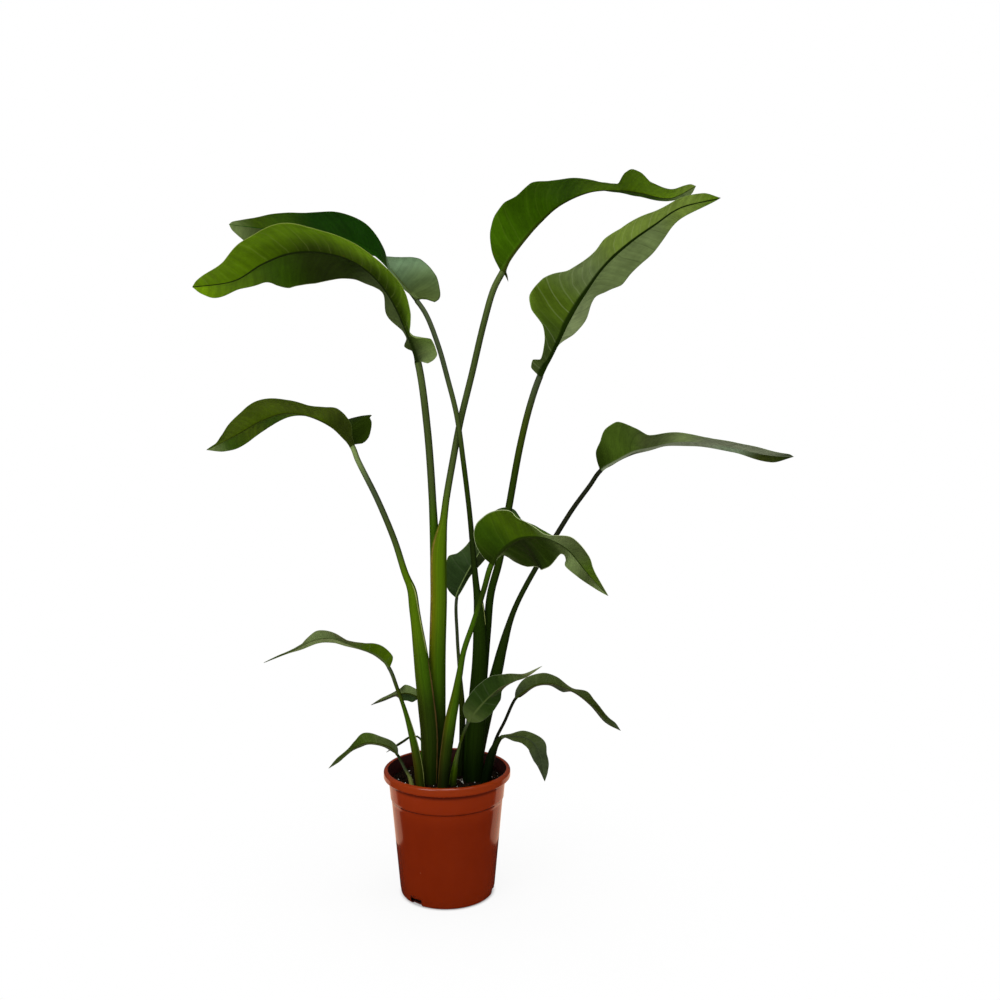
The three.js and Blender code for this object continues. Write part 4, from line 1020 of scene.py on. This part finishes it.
def colour(name, strength=1.0):
    """A palette colour as linear light, times a strength."""
    value = np.array(PALETTE[name]) / 255
    linear = np.where(value > 0.04045, ((value + 0.055) / 1.055) ** 2.4, value / 12.92)
    return (*(linear * strength).tolist(), 1)


class Nodes:
    """Places the nodes of one material or effect. An input may be given as a number, a colour or the
    output of another node."""

    def __init__(self, tree):
        self.tree = tree

    def feed(self, socket, value):
        """Links an output to a socket, or sets the socket's own value."""
        if isinstance(value, bpy.types.NodeSocket):
            self.tree.links.new(value, socket)
        else:
            socket.default_value = value

    def add(self, kind, inputs=None, **settings):
        """A node of a kind, with its inputs by name or number, and its settings."""
        node = self.tree.nodes.new(kind)
        node.location = (len(self.tree.nodes) * 190, 0)
        for key, value in settings.items():
            setattr(node, key, value)
        for key, value in (inputs or {}).items():
            self.feed(node.inputs[key], value)
        return node

    def calc(self, operation, *values):
        """The result of a sum on up to three values."""
        return self.add("ShaderNodeMath", dict(enumerate(values)), operation=operation).outputs[0]

    def times(self, first, second):
        """The product of two values."""
        return self.calc("MULTIPLY", first, second)

    def line(self, value, slope, start):
        """A value times a slope, plus a start."""
        return self.calc("MULTIPLY_ADD", value, slope, start)

    def smooth(self, value, low, high, start=0.0, end=1.0):
        """An S-curve from start, where the value is low, to end, where it is high."""
        inputs = {"Value": value, "From Min": low, "From Max": high, "To Min": start, "To Max": end}
        return self.add("ShaderNodeMapRange", inputs, interpolation_type="SMOOTHSTEP").outputs[0]

    def blend(self, factor, first, second, kind="MIX"):
        """The first colour where the factor is 0, the second where it is 1."""
        inputs = {0: factor, 6: first, 7: second}
        return self.add("ShaderNodeMix", inputs, data_type="RGBA", blend_type=kind).outputs[2]

    def shade(self, base, tone):
        """A colour times a tone, which is a number or another colour."""
        return self.blend(1.0, base, tone, "MULTIPLY")

    def ramp(self, factor, names):
        """Palette colours, named in one line of text, evenly spaced over a factor from 0 to 1."""
        node = self.add("ShaderNodeValToRGB", {0: factor})
        node.color_ramp.interpolation = "EASE"
        stops, names = node.color_ramp.elements, names.split()
        while len(stops) < len(names):
            stops.new(0.5)
        for i in range(len(names)):
            stops[i].position = i / (len(names) - 1)
        for stop, name in zip(stops, names):
            stop.color = colour(name)
        return node.outputs[0]

    def noise(self, vector, scale, detail=3.0, roughness=0.55):
        """Cloudy noise from 0 to 1."""
        inputs = {"Vector": vector, "Scale": scale, "Detail": detail, "Roughness": roughness}
        return self.add("ShaderNodeTexNoise", inputs).outputs[0]

    def vector(self, x, y, z=0.0):
        """A vector of three values."""
        return self.add("ShaderNodeCombineXYZ", {0: x, 1: y, 2: z}).outputs[0]

    def split(self, vector):
        """The three values of a vector."""
        return self.add("ShaderNodeSeparateXYZ", {0: vector}).outputs

    def map(self, name):
        """The two values of a piece's map."""
        return self.split(self.add("ShaderNodeUVMap", uv_map=name).outputs[0])[:2]

    def mark(self, name):
        """A piece's own number at each point."""
        return self.add("ShaderNodeAttribute", attribute_name=name).outputs["Fac"]

    def place(self):
        """Where a point lies on the object, in metres."""
        return self.add("ShaderNodeTexCoord").outputs["Object"]

    def use(self, group, **inputs):
        """The outputs of an effect."""
        named = {key.replace("_", " ").capitalize(): value for key, value in inputs.items()}
        return self.add("ShaderNodeGroup", named, node_tree=group).outputs


def effect(name, inputs, outputs):
    """A node group with named number inputs (or a vector, where the value is None) and number outputs.
    Gives the group, its nodes, its inputs, and what puts a value out under a name."""
    tree = bpy.data.node_groups.new(name, "ShaderNodeTree")
    for title, value in inputs.items():
        kind = "NodeSocketVector" if value is None else "NodeSocketFloat"
        socket = tree.interface.new_socket(name=title, in_out="INPUT", socket_type=kind)
        if value is not None:
            socket.default_value = value
    for title in outputs:
        tree.interface.new_socket(name=title, in_out="OUTPUT", socket_type="NodeSocketFloat")
    given = tree.nodes.new("NodeGroupInput").outputs
    ends = tree.nodes.new("NodeGroupOutput").inputs

    def put(title, value):
        tree.links.new(value, ends[title])

    return tree, Nodes(tree), given, put


def mottle_effect():
    """Soft cloudy variation from 0 to 1, by noise at two scales."""
    given = {"Vector": None, "Scale": 30.0, "Contrast": 0.2}
    tree, nodes, given, put = effect("mottle", given, ["Value"])
    broad = nodes.noise(given["Vector"], given["Scale"], 4.0)
    fine = nodes.noise(given["Vector"], nodes.times(given["Scale"], 5.3))
    both = nodes.calc("ADD", nodes.times(broad, 0.7), nodes.times(fine, 0.3))
    low = nodes.calc("SUBTRACT", 0.5, given["Contrast"])
    high = nodes.calc("ADD", 0.5, given["Contrast"])
    put("Value", nodes.smooth(both, low, high))
    return tree


def specks_effect():
    """Small separate spots: 1 near some of the middles of a cell pattern, 0 elsewhere."""
    given = {"Vector": None, "Scale": 100.0, "Size": 0.2, "Share": 0.2}
    tree, nodes, given, put = effect("specks", given, ["Mask"])
    cells = nodes.add("ShaderNodeTexVoronoi", {"Vector": given["Vector"], "Scale": given["Scale"]})
    chosen = nodes.add("ShaderNodeSeparateColor", {0: cells.outputs["Color"]}).outputs[0]
    chosen = nodes.calc("LESS_THAN", chosen, given["Share"])
    size = given["Size"]
    near = nodes.smooth(cells.outputs["Distance"], nodes.times(size, 0.6), size, 1.0, 0.0)
    put("Mask", nodes.times(near, chosen))
    return tree


def veins_effect():
    """Parallel side veins of a blade. Run is the distance along the rib at which a vein leaves it, and
    Across the distance from the rib. Strong is 1 on the main veins, each by its own share, Fine a wave
    over the small ones, Streak the broad bands between, for painted light and shade along the pleats,
    and Height the relief of all."""
    given = {"Run": 0.0, "Across": 0.0, "Main step": VEIN_STEP * MM, "Small step": SMALL_VEIN_STEP * MM}
    tree, nodes, given, put = effect("leaf_veins", given, ["Strong", "Fine", "Streak", "Height"])
    run, across, step = given["Run"], given["Across"], given["Main step"]
    sway = nodes.calc("SUBTRACT", nodes.noise(nodes.vector(run, across), 26.0, 1.0), 0.5)
    swayed = nodes.line(sway, 0.008, run)
    cell = nodes.calc("DIVIDE", swayed, step)
    number = nodes.calc("FLOOR", cell)
    off = nodes.calc("SUBTRACT", nodes.calc("SUBTRACT", cell, number), 0.5)
    off = nodes.times(nodes.calc("ABSOLUTE", off), step)
    own = nodes.add("ShaderNodeTexWhiteNoise", {"W": number}, noise_dimensions="1D").outputs[0]
    strong = nodes.smooth(off, 0.0003, 0.0016, 1.0, 0.0)
    strong = nodes.times(strong, nodes.smooth(own, 0.0, 0.9, 0.15, 1.0))
    turns = nodes.times(nodes.calc("DIVIDE", swayed, given["Small step"]), 2 * np.pi)
    fine = nodes.line(nodes.calc("SINE", turns), 0.5, 0.5)
    streak = nodes.noise(nodes.vector(nodes.times(swayed, 9.0), across), 13.0, 2.0)
    put("Strong", strong)
    put("Fine", fine)
    put("Streak", nodes.smooth(streak, 0.3, 0.7))
    put("Height", nodes.calc("ADD", nodes.times(strong, 0.6), nodes.times(fine, 0.25)))
    return tree


def fibres_effect():
    """Lines along a stalk: noise that changes quickly around it and slowly along it. Value is the fine
    lines, and Broad the wide ones."""
    given = {"Around": 0.0, "Along": 0.0, "Count": 40.0}
    tree, nodes, given, put = effect("fibres", given, ["Value", "Broad"])
    turn = nodes.times(given["Around"], 2 * np.pi)
    ring = nodes.calc("DIVIDE", given["Count"], 2 * np.pi)
    x = nodes.times(nodes.calc("COSINE", turn), ring)
    y = nodes.times(nodes.calc("SINE", turn), ring)
    fine = nodes.noise(nodes.vector(x, y, nodes.times(given["Along"], 6.0)), 1.0, 2.0)
    broad = nodes.noise(nodes.vector(x, y, nodes.times(given["Along"], 9.0)), 0.16, 2.0)
    put("Value", nodes.smooth(fine, 0.3, 0.7))
    put("Broad", nodes.smooth(broad, 0.35, 0.65))
    return tree


MOTTLE = mottle_effect()
SPECKS = specks_effect()
VEINS = veins_effect()
FIBRES = fibres_effect()


def new_finish(name):
    """An empty material and its nodes. Its main shader already feeds the output."""
    material = bpy.data.materials.new(name)
    material.use_nodes = True
    return material, Nodes(material.node_tree)


def set_up(nodes, base, rough, relief, gloss, sheen=WHITE):
    """Gives the main shader its colour, its roughness, its relief as height, distance in metres and
    strength, and the level and tint of its reflections."""
    shader = nodes.tree.nodes["Principled BSDF"]
    height, distance, strength = relief
    inputs = {"Height": height, "Distance": distance, "Strength": strength}
    nodes.feed(shader.inputs["Base Color"], base)
    nodes.feed(shader.inputs["Roughness"], rough)
    nodes.feed(shader.inputs["Normal"], nodes.add("ShaderNodeBump", inputs).outputs[0])
    shader.inputs["Specular IOR Level"].default_value = gloss
    shader.inputs["Specular Tint"].default_value = sheen


def blade_finish(leaf):
    """A blade: colours on each half below, partly its own and partly painted light and shade, and on top,
    with painted shade beside the rib towards the stalk, cloudy tone, side veins with painted light and
    shade in the bands between them, the rib, the margin and a few brown specks. Below it is a little
    rougher than on top."""
    looks = LOOKS[leaf["name"]]
    material, nodes = new_finish(leaf["name"] + "_blade_green")
    run, across = nodes.map("veins")
    t, s = nodes.map("spot")
    far, part = nodes.calc("ABSOLUTE", across), nodes.calc("ABSOLUTE", s)
    on_right = nodes.calc("GREATER_THAN", s, 0.0)
    under, place = nodes.mark("underside"), nodes.place()
    veins = nodes.use(VEINS, run=run, across=far)
    cloud = nodes.use(MOTTLE, vector=place, scale=24.0, contrast=0.22)["Value"]
    # The halves below, in colours that are partly the leaf's own and partly painted light and shade.
    below = nodes.blend(on_right, nodes.ramp(t, looks["left"]), nodes.ramp(t, looks["right"]))
    # Painted shade beside the rib, by each half's own depth, fading towards the tip and out to the margin.
    right_shade, left_shade = looks["shade"]
    depth = nodes.line(on_right, right_shade - left_shade, left_shade)
    depth = nodes.times(depth, nodes.smooth(t, 0.55, 0.85, 1.0, 0.1))
    depth = nodes.times(depth, nodes.smooth(part, 0.0, 0.85, 1.0, 0.0))
    below = nodes.shade(below, nodes.calc("SUBTRACT", 1.0, depth))
    base = nodes.blend(under, nodes.ramp(t, looks["top"]), below)
    base = nodes.shade(base, nodes.line(cloud, 0.3, 0.85))
    # Painted light and shade in broad bands between the veins, along the pleats.
    base = nodes.shade(base, nodes.line(veins["Streak"], 0.24, 0.88))
    base = nodes.shade(base, nodes.line(veins["Fine"], 0.06, 0.97))
    tint, on_right_half, on_left_half = looks["veins"]
    on_left = nodes.calc("SUBTRACT", 1.0, on_right)
    for amount, half in ((on_right_half, on_right), (on_left_half, on_left)):
        line = nodes.times(nodes.times(veins["Strong"], half), abs(amount))
        base = nodes.blend(line, base, colour(tint if amount > 0 else "cream"))
    rib_reach = leaf["girth"][-1][1] * MM * looks.get("rib_wide", 1.0)
    thick = nodes.line(t, -RIB_TAPER * rib_reach, rib_reach)
    on_rib = nodes.smooth(nodes.calc("DIVIDE", far, thick), 0.5, 1.0, 1.0, 0.0)
    base = nodes.blend(on_rib, base, nodes.blend(under, colour("moss"), colour(looks["rib"])))
    base = nodes.blend(nodes.smooth(part, 0.975, 0.992, 0.0, 0.6), base, colour(looks["edge"]))
    spots = nodes.use(SPECKS, vector=place, scale=45.0, size=0.09, share=0.12)["Mask"]
    base = nodes.blend(nodes.times(spots, 0.45), base, colour("rust"))
    rough = nodes.line(under, 0.12, nodes.line(cloud, 0.1, 0.34))
    relief = nodes.line(cloud, 0.3, veins["Height"])
    strength = 0.5 if leaf["grid"] is LARGE else 0.1
    set_up(nodes, base, rough, (relief, 0.0005, strength), BLADE_GLOSS, BLADE_SHEEN)
    return material


def stalk_finish(leaf):
    """A stalk: its colours from the soil up, with fibres along it, painted light across its middle and
    painted shade towards its right side, and browner down its left where it is flushed."""
    material, nodes = new_finish(leaf["name"] + "_stalk_green")
    around, along = nodes.map("wrap")
    part = nodes.map("spot")[0]
    fibres = nodes.use(FIBRES, around=around, along=along, count=60.0)
    cloud = nodes.use(MOTTLE, vector=nodes.place(), scale=30.0, contrast=0.2)["Value"]
    base = nodes.ramp(part, STALK_COLOURS[leaf["name"]])
    base = nodes.shade(base, nodes.line(fibres["Value"], 0.22, 0.88))
    base = nodes.shade(base, nodes.line(fibres["Broad"], 0.5, 0.72))
    # Painted light and shade across the stalk: brightest a little left of its middle, darkest at its right
    # side.
    across = nodes.calc("COSINE", nodes.times(around, 2 * np.pi))
    off = nodes.calc("ADD", across, 0.3)
    base = nodes.shade(base, nodes.line(nodes.times(off, off), -0.32, 1.13))
    warm = nodes.times(nodes.smooth(across, -0.9, 0.1, 1.0, 0.0), nodes.smooth(part, 0.35, 0.6, 1.0, 0.0))
    warm = nodes.times(warm, WARM_STALKS.get(leaf["name"], 0.0))
    base = nodes.shade(base, nodes.blend(warm, WHITE, WARM_TONE))
    rough = nodes.line(cloud, 0.14, 0.36)
    relief = nodes.line(cloud, 0.4, fibres["Value"])
    set_up(nodes, base, rough, (relief, 0.0004, 0.5), STALK_GLOSS, STALK_SHEEN)
    return material


def edge_finish(tint):
    """The dry thin edge of a sheath, with cloudy tone along it."""
    material, nodes = new_finish("sheath_edge_" + tint)
    cloud = nodes.use(MOTTLE, vector=nodes.place(), scale=60.0, contrast=0.2)["Value"]
    base = nodes.blend(cloud, colour(tint, 0.7), colour(tint, 1.2))
    set_up(nodes, base, nodes.line(cloud, 0.2, 0.5), (cloud, 0.0002, 0.4), EDGE_GLOSS)
    return material


def pot_finish():
    """Smooth glossy plastic: faint cloudy tone and flow lines, paler towards the rim, painted shade under
    the lip, at the step below the band and inside, with a few pale specks."""
    material, nodes = new_finish("pot_plastic_red_brown")
    place = nodes.place()
    x, y, height = nodes.split(place)
    inside = nodes.mark("inside")
    drawn = nodes.vector(x, y, nodes.times(height, 0.06))
    flow = nodes.use(MOTTLE, vector=drawn, scale=40.0, contrast=0.3)["Value"]
    cloud = nodes.use(MOTTLE, vector=place, scale=9.0, contrast=0.3)["Value"]
    dust = nodes.use(SPECKS, vector=place, scale=42.0, size=0.045, share=0.09)["Mask"]
    base = nodes.blend(cloud, POT_DARK, POT_LIGHT)
    base = nodes.blend(nodes.times(flow, 0.2), base, POT_FLOW)
    base = nodes.blend(nodes.smooth(height, 0.15, 0.222, 0.0, 0.6), base, POT_BAND)
    base = nodes.blend(nodes.smooth(height, 0.225, 0.229), base, POT_RIM)
    # Painted shade in lines under the lip and at the step below the band.
    for middle, reach in POT_SHADE_LINES:
        off = nodes.calc("ABSOLUTE", nodes.calc("SUBTRACT", height, middle))
        base = nodes.blend(nodes.smooth(off, reach * 0.15, reach, 0.7, 0.0), base, POT_PAINTED_SHADE)
    # Painted shade on the inside of the pot.
    base = nodes.blend(inside, base, POT_INSIDE_SHADE)
    base = nodes.blend(nodes.times(dust, 0.7), base, POT_DUST)
    rough = nodes.line(dust, 0.4, nodes.line(cloud, 0.04, 0.11))
    rough = nodes.line(inside, 0.3, rough)
    relief = nodes.calc("ADD", nodes.times(flow, 0.4), nodes.times(dust, 0.4))
    set_up(nodes, base, rough, (relief, 0.00005, 0.3), POT_GLOSS)
    return material


def earth_finish(name, dark, light, scale, pale_share=0.0):
    """Potting mix, or a grain of it: two tones by cloudy noise, pale specks, and a rough surface."""
    material, nodes = new_finish(name)
    place = nodes.place()
    cloud = nodes.use(MOTTLE, vector=place, scale=scale, contrast=0.2)["Value"]
    grain = nodes.noise(place, scale * 6, 4.0, 0.7)
    base = nodes.shade(nodes.blend(cloud, dark, light), nodes.line(grain, 0.8, 0.6))
    pale = nodes.use(SPECKS, vector=place, scale=260.0, size=0.22, share=pale_share)["Mask"]
    base = nodes.blend(pale, base, (0.45, 0.40, 0.32, 1))
    set_up(nodes, base, nodes.line(grain, 0.2, 0.78), (grain, 0.0012, 0.9), SOIL_GLOSS)
    return material


def floor_finish():
    """A pale floor, which looks dark in reflections. Its shadows are softened for the camera, less so
    right at the pot's foot."""
    material, nodes = new_finish("studio_floor")
    shader = nodes.tree.nodes["Principled BSDF"]
    shader.inputs["Base Color"].default_value = (0.85, 0.85, 0.85, 1)
    shader.inputs["Roughness"].default_value = 0.9
    glow = nodes.add("ShaderNodeEmission", {"Color": WHITE, "Strength": 1.0})
    dim = nodes.add("ShaderNodeEmission", {"Color": WHITE, "Strength": 0.01})
    path = nodes.add("ShaderNodeLightPath").outputs
    far = nodes.add("ShaderNodeVectorMath", {0: nodes.place()}, operation="LENGTH").outputs["Value"]
    softened = nodes.smooth(far, *SOFTER_AT_FOOT)
    softened = nodes.calc("ADD", softened, nodes.smooth(far, *SOFTER_FURTHER))
    softened = nodes.times(path["Is Camera Ray"], softened)
    lit = nodes.add("ShaderNodeMixShader", {0: softened, 1: shader.outputs[0], 2: glow.outputs[0]})
    mirrored = nodes.times(path["Is Glossy Ray"], 0.98)
    both = nodes.add("ShaderNodeMixShader", {0: mirrored, 1: lit.outputs[0], 2: dim.outputs[0]})
    nodes.feed(nodes.tree.nodes["Material Output"].inputs[0], both.outputs[0])
    return material


# The plant.


def keep(piece, slot, *nodes):
    """The piece rides on the plant and stands for the nodes. The slot is not used."""
    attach(piece, "root")
    if nodes:
        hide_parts(*nodes)


for number, leaf in enumerate(LEAVES, 1):
    name = leaf["name"]
    keep(blade_piece(leaf, blade_finish(leaf), number), "blade", name + "_blade")
    keep(stalk_piece(leaf, stalk_finish(leaf)), "stalk", name + "_stalk")

by_name = {leaf["name"]: leaf for leaf in LEAVES}
dry = {tint: edge_finish(tint) for tint in ("straw", "bark", "lime", "amber")}
for name, edge, tint, width, route in SHEATH_EDGES:
    keep(edge_piece(by_name[name], name + "_" + edge, route, width, dry[tint]), "stalk")

keep(pot_piece(pot_finish()), "pot_plastic", "pot")
earth = earth_finish("soil_mix", (0.003, 0.0018, 0.001, 1), (0.016, 0.009, 0.005, 1), 70.0, 0.04)
keep(soil_piece(earth), "soil", "soil")

random = np.random.default_rng(11)


def on_soil(x, y, rise):
    """Points on the soil's top, raised by so much."""
    return np.stack([x, y, SOIL_TOP + soil_height(x, y) + rise], -1)


def scattered(count, most, rise):
    """Points over the soil, evenly by area, out to a radius."""
    radius, angle = most * np.sqrt(random.uniform(0, 1, count)), random.uniform(0, 2 * np.pi, count)
    return on_soil(radius * np.cos(angle), radius * np.sin(angle), rise)


crumb = earth_finish("soil_crumb", (0.004, 0.002, 0.001, 1), (0.024, 0.012, 0.006, 1), 120.0)
crumbs = scattered(CRUMB_COUNT, CRUMB_REACH, CRUMB_RISE)
keep(lumps_piece("soil_crumbs", crumbs, random.uniform(*CRUMB_SIZE, CRUMB_COUNT), 3, crumb), "soil")

grain = earth_finish("pale_grain", (0.42, 0.40, 0.36, 1), (0.75, 0.73, 0.68, 1), 200.0)
x, y = (random.uniform(*span, NEAR_GRAIN_COUNT) for span in (NEAR_GRAIN_X, NEAR_GRAIN_Y))
near = on_soil(x, y, NEAR_GRAIN_RISE)
grains = np.concatenate([near, scattered(GRAIN_COUNT, GRAIN_REACH, GRAIN_RISE)])
keep(lumps_piece("soil_grains", grains, random.uniform(*GRAIN_SIZE, len(grains)), 4, grain), "soil")

# The studio.
floor_mesh = bpy.data.meshes.new("floor")
floor_mesh.from_pydata([(-8, -8, 0), (8, -8, 0), (8, 8, 0), (-8, 8, 0)], [], [(0, 1, 2, 3)])
floor_mesh.materials.append(floor_finish())
floor = bpy.data.objects.new("floor", floor_mesh)
bpy.context.scene.collection.objects.link(floor)
floor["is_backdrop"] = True


def soft_light(name, place, size, power):
    """A soft square light at a place."""
    lamp = bpy.data.lights.new(name, "AREA")
    lamp.shape, lamp.energy = "RECTANGLE", power
    lamp.size = lamp.size_y = size
    light = bpy.data.objects.new(name, lamp)
    light.location = place
    bpy.context.scene.collection.objects.link(light)
    return light


for name, place, aim, size, power in LAMPS:
    light = soft_light(name, place, size, power)
    light.rotation_euler = (Vector(aim) - Vector(place)).to_track_quat("-Z", "Y").to_euler()

# The two cards lie behind the pot to its left and right, face up, and only show in its gloss.
turn = radians(CARD_TURN)
for name, side in (("left_card", -1), ("right_card", 1)):
    corner = np.array([side * CARD_CORNER[0], CARD_CORNER[1]])
    away = np.array([-side * np.sin(turn), np.cos(turn)])
    outward = np.array([side * np.cos(turn), np.sin(turn)])
    middle = corner + CARD_SIZE / 2 * (away + outward)
    card = soft_light(name, (*middle.tolist(), CARD_HEIGHT), CARD_SIZE, CARD_POWER)
    card.rotation_euler = (np.pi, 0, side * turn)
    card.data.color = CARD_COLOUR
    card.visible_camera = card.visible_diffuse = False

world = bpy.data.worlds.new("studio")
bpy.context.scene.world = world
world.use_nodes = True
sky = Nodes(world.node_tree)
path = sky.add("ShaderNodeLightPath").outputs
level = sky.line(path["Is Camera Ray"], SKY_SEEN - SKY_LIGHT, SKY_LIGHT)
level = sky.line(path["Is Glossy Ray"], SKY_MIRRORED - SKY_LIGHT, level)
back = world.node_tree.nodes["Background"]
back.inputs["Color"].default_value = WHITE
sky.feed(back.inputs["Strength"], level)

camera = bpy.data.objects.new("camera", bpy.data.cameras.new("camera"))
camera.location = CAMERA_PLACE
camera.rotation_euler = (radians(CAMERA_TILT), 0, 0)
camera.data.lens = CAMERA_LENS
camera.data.sensor_width = CAMERA_SENSOR
bpy.context.scene.collection.objects.link(camera)
bpy.context.scene.camera = camera
bpy.context.scene.view_settings.view_transform = "Standard"

sizes = {"cad": cad_box, "visual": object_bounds()}
sizes = {key: [list(corner) for corner in box] for key, box in sizes.items()}
